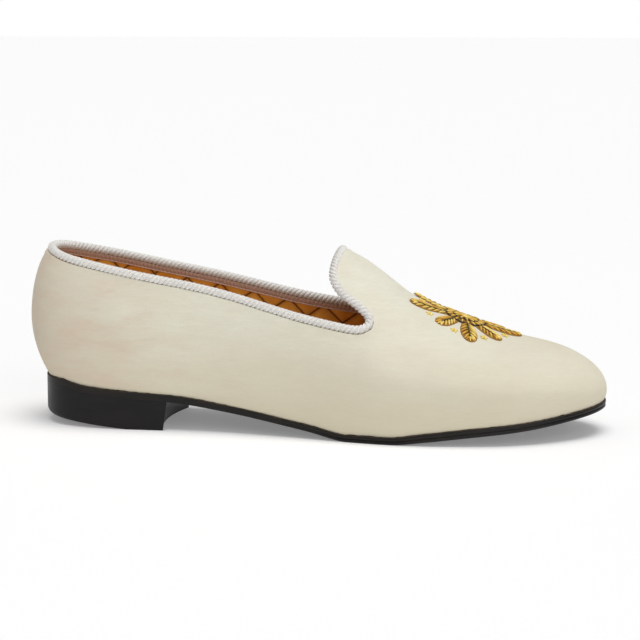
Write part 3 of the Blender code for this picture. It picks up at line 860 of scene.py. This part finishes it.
def build_cord():
    """Three strands twisted into one cord, whose mesh lines run along the strands."""
    path = cord_rows[:, :3]
    count = len(path)
    length = np.linalg.norm(np.roll(path, -1, axis=0) - path, axis=1).sum()
    tangent, across, other, turn = transported(path)
    thirds = round(length / CORD_LAY * STRANDS)
    twist = -(2 * math.pi * thirds / STRANDS) - turn
    share = np.arange(CORD_SIDES) / CORD_SIDES
    around = 2 * math.pi * share + (twist * np.arange(count) / count)[:, None]
    points = rings_round(path, across, other, around, strand_radius(share)[None])
    rings = ring_numbers(count, CORD_SIDES)
    shift = (thirds % STRANDS) * CORD_SIDES // STRANDS
    rings.append(np.roll(rings[0], shift))
    mesh = mesh_from("twisted_cord", points, band(rings, flip=True), welded=WELD)
    add_piece("twisted_cord", mesh, cord_finish(), "cord", "collar_cord")


def tube_points(path, radius, closed):
    """Points and faces of a round tube."""
    tangent, across, other, turn = transported(path, closed)
    count = len(path)
    untwist = turn * np.arange(count) / count if closed else np.zeros(count)
    around = 2 * math.pi * np.arange(TUBE_SIDES) / TUBE_SIDES - untwist[:, None]
    points = rings_round(path, across, other, around, np.broadcast_to(radius, count)[:, None])
    rings = ring_numbers(count, TUBE_SIDES)
    if closed:
        return points, band(rings + rings[:1], flip=True)
    return points, band(rings, flip=True) + [rings[0], rings[-1][::-1]]


def inner_line(deep, down, step):
    """A line along the wall's inner side, this far in and down from the cord's middle."""
    rows = cord_rows[::step]
    path, normal = rows[:, :3], rows[:, 3:]
    away = np.cross(unit(np.roll(path, -1, axis=0) - np.roll(path, 1, axis=0)), normal)
    away = -away if away[0, 2] > 0 else away
    return path - normal * deep + away * down, normal, away


def build_inner_tape():
    """The ribbed tape that the cord is sewn on with, seen along the inner side; its rosy brown is painted
    shade with a painted orange reflection from the lining.
    """
    line, normal, away = inner_line(TAPE_DEEP, TAPE_DOWN, 1)
    rib = np.arange(len(line)) * CORD_STEP / TAPE_RIB
    relief = 1 + 0.40 * np.cos(2 * math.pi * rib)
    points = []
    for share in np.arange(TAPE_SIDES) / TAPE_SIDES:
        out = TAPE_THICK * math.cos(2 * math.pi * share) * relief[:, None]
        points.append(line + normal * out + away * TAPE_WIDE * math.sin(2 * math.pi * share))
    points = np.stack(points, axis=1).reshape(-1, 3)
    rings = ring_numbers(len(line), TAPE_SIDES)
    mesh = mesh_from("inner_tape", points, band(rings + rings[:1]), welded=WELD)
    add_piece("inner_tape", mesh, fibre_finish("rosy_tape_painted_shade"), "lining")


def build_lining_edge():
    """The folded edge of the lining, a thin pale bead under the tape."""
    line, _, _ = inner_line(BEAD_DEEP, BEAD_DOWN, 3)
    points, faces = tube_points(line, BEAD_RADIUS, True)
    mesh = mesh_from("lining_edge", points, faces, welded=WELD)
    add_piece("lining_edge", mesh, fibre_finish("pale_edge"), "lining")


# Sole, heel and sock

def plan_grid(turn, margin, share):
    """Plan of a grid that spans the last from side to side."""
    lx, ly = feather(LATERAL, turn, margin)
    mx, my = feather(MEDIAL, turn, margin)
    return np.outer(lx, 1 - share) + np.outer(mx, share), np.outer(ly, 1 - share) + np.outer(my, share)


def plan_ring(turn, margin):
    """Plan of the outline, along the lateral side and back along the medial."""
    lateral, medial = (np.stack(feather(side, turn, margin)) for side in (LATERAL, MEDIAL))
    return np.hstack([lateral, medial[:, -2:0:-1]])


def plate_mesh(name, rims):
    """A plate within the last's outline: rims are margins with heights, from the bottom up."""
    turn = np.linspace(0, math.pi, PLATE_STEPS + 1)
    points = []
    rings = []
    start = 0
    for margin, height in rims:
        x, y = plan_ring(turn, margin)
        points.append(np.stack([x, y, height(x)], axis=1))
        rings.append(np.arange(len(x)) + start)
        start += len(x)
    faces = band(rings)
    for (margin, height), flip in ((rims[0], True), (rims[-1], False)):
        x, y = plan_grid(turn, margin, np.linspace(0, 1, PLATE_ACROSS + 1))
        points.append(np.stack([x.ravel(), y.ravel(), height(x.ravel())], axis=1))
        faces += grid_faces(np.arange(x.size).reshape(x.shape) + start, flip)
        start += x.size
    return mesh_from(name, np.vstack(points), faces, sharp=42, welded=PLATE_WELD)


def build_sole():
    def at(share):
        return lambda x: under_at(x) + (edge_at(x) - PLATE_GAP) * share

    grown = smooth((1 - np.cos(np.linspace(0, math.pi, PLATE_STEPS + 1))) / 2, 0.42, 0.58)
    rims = []
    for up in np.linspace(0, 1, SOLE_LEVELS + 1):
        depth = float(edge_depth_at(up)) * grown + float(edge_kept_at(up)) * (1 - grown)
        rims.append((SOLE_MARGIN - SOLE_GROOVE * depth, at(up)))
    add_piece("leather_sole", plate_mesh("leather_sole", rims), sole_finish(), "sole", "outsole")


def build_feather_line():
    """A thin brown line under the velvet: a dark tube that paints the shadow below the velvet's edge."""
    x, y = plan_ring(np.linspace(0, math.pi, FEATHER_STEPS + 1), SOLE_MARGIN - FEATHER_INSET)
    line = np.stack([x, y, feather_height(x) - FEATHER_RADIUS], axis=1)
    radius = FEATHER_RADIUS * (1 + 0.5 * noise_at(line, FEATHER_ROUGH))
    points, faces = tube_points(line, radius, True)
    mesh = mesh_from("feather_line", points, faces, welded=WELD)
    add_piece("feather_line", mesh, fibre_finish("painted_shadow_edge"), "sole")


def build_sock():
    def at(height):
        return lambda x: feather_height(x) + SOCK_LIFT + height

    rims = [(-INSOLE_MARGIN, at(0))]
    for turn in (0, 30, 60, 90):
        inset = SOCK_EDGE * (1 - math.cos(math.radians(turn)))
        rise = SOCK_EDGE * math.sin(math.radians(turn))
        rims.append((-INSOLE_MARGIN - inset, at(INSOLE_THICKNESS - SOCK_EDGE + rise)))
    add_piece("sock", plate_mesh("sock", rims), sock_finish(), "insole", "insole")


def build_heel():
    """The heel block, with a hollow breast, and rounded under at the back where it wears."""
    lengthwise, crosswise, levels = HEEL_STEPS
    share = np.linspace(0, 1, crosswise + 1)
    hollow = BREAST_HOLLOW * (1 - (2 * share - 1) ** 2)
    slope = HEEL_BACK_LIFT / (HEEL_TREAD_START - SOLE_BACK)

    def layer(lean, rounding):
        """Plan grid at a level: rounding is the share of the rounded edge still to come."""
        limit = math.acos(1 - 2 * (HEEL_BREAST - lean) / SOLE_LENGTH)
        turn = limit * np.linspace(0, 1, lengthwise + 1)
        radius = WORN_EDGE * (1 - smooth(turn / limit, 0.15, 0.75)) + FRESH_EDGE
        inset = radius * (1 - math.sqrt(1 - rounding ** 2))
        x, y = plan_grid(turn, SOLE_MARGIN - inset, share)
        x = x - np.outer(smooth(turn / limit, 0.55, 1.0), hollow)
        z = np.maximum(0, (HEEL_TREAD_START - x) * slope) + radius[:, None] * (1 - rounding)
        return np.stack([x, y, z], axis=-1)

    low = layer(BREAST_LEAN, 1.0)
    curb = layer(BREAST_LEAN, 0.0)
    high = layer(0.0, 0.0)
    high[..., 2] = under_at(high[..., 0]) - PLATE_GAP
    number = np.arange(low.shape[0] * low.shape[1]).reshape(low.shape[:2])
    faces = grid_faces(number, True) + grid_faces(number + number.size)
    rim = [(i, 0) for i in range(lengthwise)] + [(lengthwise, j) for j in range(crosswise)]
    rim += [(i, crosswise) for i in range(lengthwise, 0, -1)]
    rows, columns = np.array(rim).T
    points = [low.reshape(-1, 3), high.reshape(-1, 3)]
    grids = [layer(BREAST_LEAN, rounding) for rounding in HEEL_ROUNDING]
    grids += [curb * (1 - k / levels) + high * k / levels for k in range(levels)]
    rings = [number[rows, columns]]
    for k, grid in enumerate(grids):
        points.append(grid[rows, columns])
        rings.append(np.arange(len(rim)) + 2 * number.size + k * len(rim))
    rings.append(rings[0] + number.size)
    mesh = mesh_from("heel_block", np.vstack(points), faces + band(rings), sharp=40, welded=PLATE_WELD)
    add_piece("heel_block", mesh, heel_finish(), "heel", "heel")


# Embroidery

def on_vamp(spots, lift):
    """Points a little above the vamp, along its normal, over these plan positions."""
    x, y = np.array(spots).T
    placed = np.zeros((len(x), 3))
    lift = np.broadcast_to(lift, len(x))
    nearest = np.full(len(x), np.inf)
    for side in (LATERAL, MEDIAL):
        angle = np.full(len(x), math.radians(120))
        level = np.full(len(x), 0.85)
        small = 0.001
        for _ in range(14):
            here = wall(side, angle, level)
            by_angle = (wall(side, angle + small, level) - here) / small
            by_level = (wall(side, angle, level - small) - here) / -small
            miss_x = x - here[:, 0]
            miss_y = y - here[:, 1]
            area = by_angle[:, 0] * by_level[:, 1] - by_angle[:, 1] * by_level[:, 0]
            angle = angle + (miss_x * by_level[:, 1] - miss_y * by_level[:, 0]) / area
            level = level + (miss_y * by_angle[:, 0] - miss_x * by_angle[:, 1]) / area
            angle = np.clip(angle, 1.0, math.pi - 0.01)
            level = np.clip(level, TUCK + 0.05, 1.0)
        here = wall(side, angle, level)
        miss = np.hypot(x - here[:, 0], y - here[:, 1])
        closer = miss < nearest
        point, normal = on_last(np.full(len(x), side), angle, level)
        placed[closer] = (point + normal * lift[:, None])[closer]
        nearest[closer] = miss[closer]
    return placed


def spray_spot(direction, reach):
    """Plan position at a direction in degrees and a reach in shares of half the spray's size."""
    turn = math.radians(direction)
    size = EMBROIDERY_SIZE / 2 * reach
    return (LENGTH * EMBROIDERY_ALONG + size * math.cos(turn), EMBROIDERY_SHIFT + size * math.sin(turn))


def spray_reach(direction):
    """How far the embroidery reaches in a direction, as a share of half its size."""
    reach = BOSS
    for leaf, length, half in LEAVES:
        turn = abs((direction - leaf + 180) % 360 - 180) / half
        if turn < 1:
            reach = max(reach, BOSS + (length - BOSS) * (1 - turn ** 2) ** 0.5)
    return reach


class Threads:
    """Tubes of thread laid on the vamp, gathered into one mesh with a tone for each."""

    def __init__(self):
        self.paths = []

    def lay(self, spots, lift, radius, tone):
        self.paths.append((spots, lift, radius, tone))

    def mesh(self, name):
        spots = [spot for path in self.paths for spot in path[0]]
        lifts = np.concatenate([np.broadcast_to(path[1], len(path[0])) for path in self.paths])
        placed = on_vamp(spots, lifts)
        points, faces, tones = [], [], []
        start = 0
        number = 0
        for path, _, radius, tone in self.paths:
            line = placed[number:number + len(path)]
            number += len(path)
            made, sides = tube_points(line, radius, False)
            points.append(made)
            faces += [face + start for face in sides]
            tones.append(np.repeat(np.broadcast_to(tone, len(path)), TUBE_SIDES))
            start += len(made)
        mesh = mesh_from(name, np.vstack(points), faces, sharp=60)
        add_values(mesh, "tone", np.concatenate(tones))
        return mesh


def build_pad():
    """The felt padding under the threads, with the outline of the whole spray."""
    count = PAD_POINTS
    spots, lifts = [spray_spot(0, 0)], [PAD_RISE]
    for share in PAD_RINGS:
        for i in range(count):
            direction = 360 * i / count
            spots.append(spray_spot(direction, spray_reach(direction) * share))
            lifts.append(PAD_RISE if share < 1 else PAD_RISE * 0.35)
    top = on_vamp(spots, np.array(lifts))
    base = on_vamp(spots, 0.0)
    faces = []
    for start, flip in ((0, False), (len(top), True)):
        rings = [ring + 1 + start for ring in ring_numbers(len(PAD_RINGS), count)]
        faces += band(rings, not flip)
        for i in range(count):
            corner = [rings[0][i], rings[0][(i + 1) % count], start]
            faces.append(corner[::-1] if flip else corner)
    faces += band([rings[-1], rings[-1] - len(top)])
    mesh = mesh_from("embroidery_pad", np.vstack([top, base]), faces, sharp=60, welded=WELD)
    add_piece("embroidery_pad", mesh, fibre_finish("gold_padding_painted_shade"), "thread", "embroidery")


def leaf_half(length, half, reach):
    """Half-width of a leaf in degrees at a reach."""
    along = np.clip((reach - BOSS) / (length - BOSS), 0, 1)
    return half * np.sqrt(1 - along ** 2)


def lay_leaf(gold, dark, number, leaf, length, half):
    """One leaf of the spray: pairs of plump bullion leaflets along a dark rib."""
    t = np.linspace(0, 1, 7)
    plump = np.sin(math.pi * (0.10 + 0.84 * t)) ** 0.7
    for k in range(LEAFLET_PAIRS):
        start = BOSS + (length - BOSS) * (k + 0.15) / (LEAFLET_PAIRS + 0.6)
        end = min(start + 0.17, length - 0.03)
        for way in (-1, 1):
            edge = way * float(leaf_half(length, half, end)) * 0.92
            turns = leaf + edge * t ** 0.8
            spots = [spray_spot(a, start + (end - start) * s) for a, s in zip(turns, t)]
            # Painted light: each leaflet is darker at its base as painted shade and lightest past its middle
            # as painted highlight, and one side of each leaf is painted lighter than the other; the rest
            # varies from leaflet to leaflet.
            shade = 0.62 + 0.16 * way + 0.12 * math.sin(2.4 * k + 1.7 * number)
            tone = np.clip(shade * (0.30 + 0.95 * np.sin(math.pi * (0.15 + 0.6 * t))), 0, 1)
            lift = THREAD_LIFT + 0.00035 * np.sin(math.pi * t)
            gold.lay(spots, lift, LEAFLET_RADIUS * plump, tone)
    tip = [spray_spot(leaf, length - 0.15 + 0.14 * s) for s in t]
    gold.lay(tip, THREAD_LIFT + 0.0002, TIP_RADIUS * plump, 0.85)
    reach = np.linspace(BOSS, length - 0.12, 10)
    dark.lay([spray_spot(leaf, r) for r in reach], THREAD_LIFT + RIB_LIFT, RIB_RADIUS, 0.10)


def build_threads():
    gold = Threads()
    dark = Threads()
    for number, (leaf, length, half) in enumerate(LEAVES):
        lay_leaf(gold, dark, number, leaf, length, half)
    for ring, (reach, petals) in enumerate(PETAL_RINGS):
        for k in range(petals):
            turn = 360 * (k + 0.5 * ring) / petals
            t = np.linspace(0, 1, 5)
            spots = [spray_spot(turn + 5 * s, reach - 0.075 + 0.13 * s) for s in t]
            # Painted light: each petal is darker at its inner end as painted shade and lighter outwards as
            # painted highlight; every other petal is a little lighter.
            tone = 0.45 + 0.4 * t + 0.1 * (k % 2)
            height = THREAD_LIFT + 0.0004 * (1 + ring)
            gold.lay(spots, height, LEAFLET_RADIUS * np.sin(math.pi * (0.2 + 0.7 * t)), tone)
    for reach, height, radius in DARK_RINGS:
        ring = [spray_spot(a, reach) for a in np.linspace(0, 360, 73)]
        dark.lay(ring, THREAD_LIFT + height, radius, 0.0)
    spiral = np.linspace(0, 1, 60)
    knot = [spray_spot(360 * KNOT_TURNS * s, 0.02 + BOSS * 0.26 * s) for s in spiral]
    gold.lay(knot, THREAD_LIFT + 0.0012 - 0.0004 * spiral ** 2, KNOT_RADIUS, 0.95)
    for (leaf, _, _), (following, _, _) in zip(LEAVES, LEAVES[1:] + LEAVES[:1]):
        base = np.array(spray_spot(leaf + ((following - leaf) % 360) / 2, STAR_REACH))
        for petal in range(5):
            turn = math.radians(72 * petal + 20)
            tip = base + STAR_ARM * np.array([math.cos(turn), math.sin(turn)])
            spots = [tuple(base + (tip - base) * t) for t in np.linspace(0.15, 1, 4)]
            gold.lay(spots, 0.0003, np.array(STAR_RADII), 1.0)
    add_piece("gold_threads", gold.mesh("gold_threads"), gold_finish(), "thread", "embroidery")
    add_piece("dark_threads", dark.mesh("dark_threads"), dark_finish(), "thread", "embroidery")


# Materials

def blank(name, color, roughness, **values):
    """A material and its node tree; the values are the shader's own sockets."""
    made = bpy.data.materials.new(name)
    made.use_nodes = True
    shader = made.node_tree.nodes["Principled BSDF"]
    values.update(Base_Color=(*color, 1.0), Roughness=roughness)
    for key, value in values.items():
        shader.inputs[key.replace("_", " ")].default_value = value
    return made, made.node_tree


def add_noise(tree, size, detail=3.0, stretch=(1.0, 1.0, 1.0), rough=0.5):
    """Noise with features of this size in metres, drawn out by the stretch."""
    place = tree.nodes.new("ShaderNodeTexCoord")
    mapping = tree.nodes.new("ShaderNodeMapping")
    mapping.inputs["Scale"].default_value = [1 / (size * s) for s in stretch]
    tree.links.new(place.outputs["Object"], mapping.inputs["Vector"])
    node = tree.nodes.new("ShaderNodeTexNoise")
    node.inputs["Scale"].default_value = 1.0
    node.inputs["Detail"].default_value = detail
    node.inputs["Roughness"].default_value = rough
    tree.links.new(mapping.outputs["Vector"], node.inputs["Vector"])
    return node.outputs["Fac"]


def add_range(tree, source, low, high, to_low=0.0, to_high=1.0):
    node = tree.nodes.new("ShaderNodeMapRange")
    for name, value in (("From Min", low), ("From Max", high), ("To Min", to_low), ("To Max", to_high)):
        node.inputs[name].default_value = value
    tree.links.new(source, node.inputs["Value"])
    return node.outputs["Result"]


def add_math(tree, operation, *values):
    """The result of a sum of sockets and numbers."""
    node = tree.nodes.new("ShaderNodeMath")
    node.operation = operation
    for socket, value in zip(node.inputs, values):
        if isinstance(value, float):
            socket.default_value = value
        else:
            tree.links.new(value, socket)
    return node.outputs["Value"]


def add_mix(tree, factor, first, second):
    """Mixes two colours, each a socket or a plain colour."""
    node = tree.nodes.new("ShaderNodeMix")
    node.data_type = "RGBA"
    tree.links.new(factor, node.inputs["Factor"])
    for name, value in (("A", first), ("B", second)):
        socket = [s for s in node.inputs if s.name == name and s.type == "RGBA"][0]
        if isinstance(value, tuple):
            socket.default_value = (*value, 1.0)
        else:
            tree.links.new(value, socket)
    return [s for s in node.outputs if s.type == "RGBA"][0]


def finished(made, color, *heights):
    """The material with its colour and bumps: each is a source, a height in metres and a strength."""
    tree = made.node_tree
    shader = tree.nodes["Principled BSDF"]
    tree.links.new(color, shader.inputs["Base Color"])
    before = None
    for source, distance, strength in heights:
        node = tree.nodes.new("ShaderNodeBump")
        node.inputs["Strength"].default_value = strength
        node.inputs["Distance"].default_value = distance
        tree.links.new(source, node.inputs["Height"])
        if before:
            tree.links.new(before, node.inputs["Normal"])
        before = node.outputs["Normal"]
    tree.links.new(before, shader.inputs["Normal"])
    return made


def add_mottle(tree, color, other, low, high, most, *source):
    """Mixes another colour in where a noise is high, up to this share."""
    return add_mix(tree, add_range(tree, add_noise(tree, *source), low, high, 0.0, most), color, other)


def add_attribute(tree, name):
    node = tree.nodes.new("ShaderNodeAttribute")
    node.attribute_name = name
    return node.outputs["Fac"]


def add_axis(tree, axis):
    """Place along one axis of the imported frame, in metres."""
    place = tree.nodes.new("ShaderNodeTexCoord")
    split = tree.nodes.new("ShaderNodeSeparateXYZ")
    tree.links.new(place.outputs["Object"], split.inputs["Vector"])
    return split.outputs[axis]


def velvet_finish():
    made, tree = blank(
        "cream_velvet", (0.80, 0.76, 0.63), 0.95, Sheen_Weight=0.12, Sheen_Roughness=0.5,
        Sheen_Tint=(1.0, 0.98, 0.93, 1.0), Specular_IOR_Level=0.1,
    )
    color = add_mottle(
        tree, (0.800, 0.780, 0.660), (0.755, 0.715, 0.580), 0.40, 0.68, 1.0, 0.030, 4.0, (1.8, 1.0, 0.6), 0.6
    )
    # Painted shade: the velvet is darker and warmer towards the bottom and towards the back of the heel,
    # where less light falls.
    height = add_range(tree, add_axis(tree, "Z"), 0.015, 0.060, 0.75, 0.0)
    color = add_mix(tree, height, color, (0.660, 0.590, 0.430))
    heel = add_range(tree, add_axis(tree, "X"), -0.150, -0.070, 0.80, 0.0)
    color = add_mix(tree, heel, color, (0.620, 0.520, 0.400))
    worn = add_range(tree, add_noise(tree, 0.007, 5.0, (3.2, 3.2, 1.0), 0.7), 0.46, 0.70, 0.0, 0.55)
    near_heel = add_range(tree, add_axis(tree, "X"), -0.030, -0.110, 0.15, 1.0)
    color = add_mix(tree, add_math(tree, "MULTIPLY", worn, near_heel), color, (0.66, 0.50, 0.38))
    color = add_mottle(tree, color, (0.58, 0.52, 0.40), 0.38, 0.70, 0.16, 0.0010, 4.0, (7.0, 7.0, 1.0), 0.6)
    color = add_mottle(tree, color, (0.56, 0.52, 0.42), 0.40, 0.66, 0.14, 0.0006, 2.0)
    pile = add_noise(tree, 0.00035, 2.0)
    nap = add_noise(tree, 0.0022, 3.0, (3.0, 3.0, 1.0))
    return finished(made, color, (nap, 0.00020, 0.45), (pile, 0.00012, 0.40))


def lining_finish():
    made, tree = blank("amber_lining", (0.80, 0.36, 0.05), 0.40)
    color = add_mottle(tree, (0.95, 0.47, 0.07), (0.80, 0.33, 0.04), 0.35, 0.68, 1.0, 0.010, 3.0)
    gaps = []
    for name in ("rising", "falling"):
        share = add_math(tree, "FRACT", add_attribute(tree, name))
        gaps.append(add_math(tree, "ABSOLUTE", add_math(tree, "SUBTRACT", share, 0.5)))
    sewn = add_math(tree, "MAXIMUM", gaps[0], gaps[1])
    # Painted shade: the colour darkens on each puff's slopes towards its seams; the dark line along each seam
    # is partly the seam's own colour and partly painted shade in its groove.
    shade = add_range(tree, sewn, 0.36, 0.50, 0.0, 0.45)
    color = add_mix(tree, shade, color, (0.34, 0.10, 0.012))
    seam = add_range(tree, sewn, 0.450, 0.488, 0.0, 0.94)
    color = add_mix(tree, seam, color, (0.10, 0.030, 0.008))
    return finished(made, color, (add_noise(tree, 0.0008, 3.0), 0.00010, 0.4))


# Finishes of short fibres: base colour, roughness, the noise's size and detail, its light and dark
FIBRES = {
    "pale_edge": ((0.74, 0.55, 0.45), 0.6, 0.0005, 2.0, (0.80, 0.62, 0.52), (0.62, 0.42, 0.33)),
    # The tape's rosy brown is painted shade, tinted with painted orange reflection from the lining.
    "rosy_tape_painted_shade": ((0.42, 0.26, 0.20), 0.7, 0.0006, 3.0, (0.72, 0.50, 0.40), (0.38, 0.20, 0.13)),
    # The brown edge line is painted shadow, under the velvet's edge.
    "painted_shadow_edge": ((0.035, 0.022, 0.012), 0.8, 0.0008, 3.0, (0.060, 0.038, 0.018), (0.015, 0.011, 0.008)),
    # The padding's dark brown is partly painted shade, showing in the gaps between the threads.
    "gold_padding_painted_shade": ((0.55, 0.33, 0.06), 0.7, 0.0006, 2.0, (0.42, 0.22, 0.035), (0.20, 0.08, 0.012)),
}


def fibre_finish(name):
    color, roughness, size, detail, light, dark = FIBRES[name]
    made, tree = blank(name, color, roughness)
    fibre = add_noise(tree, size, detail)
    return finished(made, add_mix(tree, fibre, light, dark), (fibre, 0.00010, 0.5))


def cord_finish():
    made, tree = blank(
        "white_cord", (0.86, 0.85, 0.83), 0.6, Sheen_Weight=0.2, Specular_IOR_Level=0.35
    )
    color = add_mottle(tree, (0.86, 0.845, 0.815), (0.72, 0.69, 0.645), 0.35, 0.65, 1.0, 0.0010, 3.0)
    return finished(made, color, (add_noise(tree, 0.00022, 3.0), 0.00010, 0.5))


def waxed(tree, size, stretch, light, dark, smoothest, roughest):
    """Colour of cloudy wax on leather, and its noise, which also gives the gloss."""
    wax = add_noise(tree, size, 4.0, stretch)
    roughness = add_range(tree, wax, 0.3, 0.7, smoothest, roughest)
    tree.links.new(roughness, tree.nodes["Principled BSDF"].inputs["Roughness"])
    return add_mix(tree, add_range(tree, wax, 0.4, 0.7), light, dark), wax


def sole_finish():
    made, tree = blank("black_sole", (0.010, 0.009, 0.009), 0.42, Specular_IOR_Level=0.22)
    color, wax = waxed(
        tree, 0.0060, (4.0, 4.0, 1.0), (0.008, 0.0075, 0.007), (0.017, 0.013, 0.011), 0.34, 0.52
    )
    return finished(made, color, (wax, 0.0002, 0.25), (add_noise(tree, 0.0006, 3.0), 0.00006, 0.3))


def heel_finish():
    made, tree = blank("black_heel", (0.009, 0.0085, 0.0085), 0.40, Specular_IOR_Level=0.2)
    color, _ = waxed(
        tree, 0.0080, (3.0, 3.0, 1.0), (0.007, 0.0068, 0.0068), (0.013, 0.0115, 0.011), 0.32, 0.46
    )
    layers = add_noise(tree, 0.0016, 2.0, (30.0, 30.0, 1.0))
    return finished(made, color, (layers, 0.0002, 0.2), (add_noise(tree, 0.0006, 3.0), 0.00006, 0.25))


def sock_finish():
    made, tree = blank("tan_sock", (0.55, 0.33, 0.14), 0.55)
    color = add_mottle(tree, (0.60, 0.36, 0.16), (0.46, 0.25, 0.10), 0.35, 0.70, 1.0, 0.020, 4.0)
    return finished(made, color, (add_noise(tree, 0.0012, 4.0, rough=0.6), 0.00015, 0.4))


def gold_finish():
    made, tree = blank("gold_bullion", (0.75, 0.50, 0.10), 0.42, Metallic=0.2)
    tone = add_attribute(tree, "tone")
    # Low tones mix to dark brown, painted shade between the bullions; high tones mix to pale yellow, painted
    # highlight on leaflets, petals and leaf tips, and the pale gold of the knot and stars.
    dark = add_mix(tree, add_range(tree, tone, 0.1, 0.6), (0.28, 0.10, 0.010), (0.74, 0.42, 0.045))
    color = add_mix(tree, add_range(tree, tone, 0.6, 1.0), dark, (0.92, 0.72, 0.20))
    return finished(made, color, (add_noise(tree, 0.00025, 2.0), 0.0001, 0.6))


def dark_finish():
    made, tree = blank("dark_thread", (0.05, 0.04, 0.015), 0.5)
    tone = add_range(tree, add_attribute(tree, "tone"), 0.0, 0.6)
    color = add_mix(tree, tone, (0.02, 0.018, 0.010), (0.36, 0.24, 0.04))
    return finished(made, color, (add_noise(tree, 0.0003, 2.0), 0.0001, 0.5))


def floor_finish():
    return blank(
        "pale_floor", (0.85, 0.85, 0.85), 0.6, Specular_IOR_Level=0.1,
        Emission_Color=(1.0, 1.0, 1.0, 1.0), Emission_Strength=0.20,
    )[0]


# Stage

def build_stage():
    mesh = bpy.data.meshes.new("floor")
    corners = [(x * FLOOR_REACH, y * FLOOR_REACH, 0) for x, y in ((-1, -1), (1, -1), (1, 1), (-1, 1))]
    mesh.from_pydata(corners, [], [(0, 1, 2, 3)])
    mesh.materials.append(floor_finish())
    floor = in_scene("floor", mesh)


def build_world():
    world = bpy.data.worlds.new("studio")
    bpy.context.scene.world = world
    world.use_nodes = True
    tree = world.node_tree
    background = tree.nodes["Background"]
    background.inputs["Color"].default_value = (1.0, 1.0, 1.0, 1.0)
    seen = tree.nodes.new("ShaderNodeLightPath")
    strength = add_range(tree, seen.outputs["Is Camera Ray"], 0.0, 1.0, WORLD_LIGHT, 1.0)
    tree.links.new(strength, background.inputs["Strength"])
    bpy.context.scene.view_settings.view_transform = "Standard"


def add_sun(name, strength, spread, direction):
    light = bpy.data.lights.new(name, "SUN")
    light.energy = strength
    light.angle = math.radians(spread)
    lamp = in_scene(name, light)
    lamp.rotation_mode = "QUATERNION"
    lamp.rotation_quaternion = Vector(direction).to_track_quat("-Z", "Y")


def build_camera():
    yaw, pitch = math.radians(CAMERA_YAW), math.radians(CAMERA_PITCH)
    back = Vector((math.sin(yaw) * math.cos(pitch), -math.cos(yaw) * math.cos(pitch), math.sin(pitch)))
    data = bpy.data.cameras.new("camera")
    data.sensor_width = SENSOR_WIDTH
    data.lens = SENSOR_WIDTH * FOCAL_PIXELS / FRAME_PIXELS
    data.clip_start = 0.05
    data.clip_end = 50.0
    camera = in_scene("camera", data)
    camera.location = Vector(ORIGIN + np.array(CAMERA_FOCUS)) + back * CAMERA_DISTANCE
    camera.rotation_mode = "QUATERNION"
    camera.rotation_quaternion = (-back).to_track_quat("-Z", "Y")
    bpy.context.scene.camera = camera


build_camera()
build_stage()
build_world()
for sun in SUNS:
    add_sun(*sun)
build_velvet()
build_lining()
build_inner_tape()
build_lining_edge()
build_cord()
build_sole()
build_feather_line()
build_sock()
build_heel()
build_pad()
build_threads()
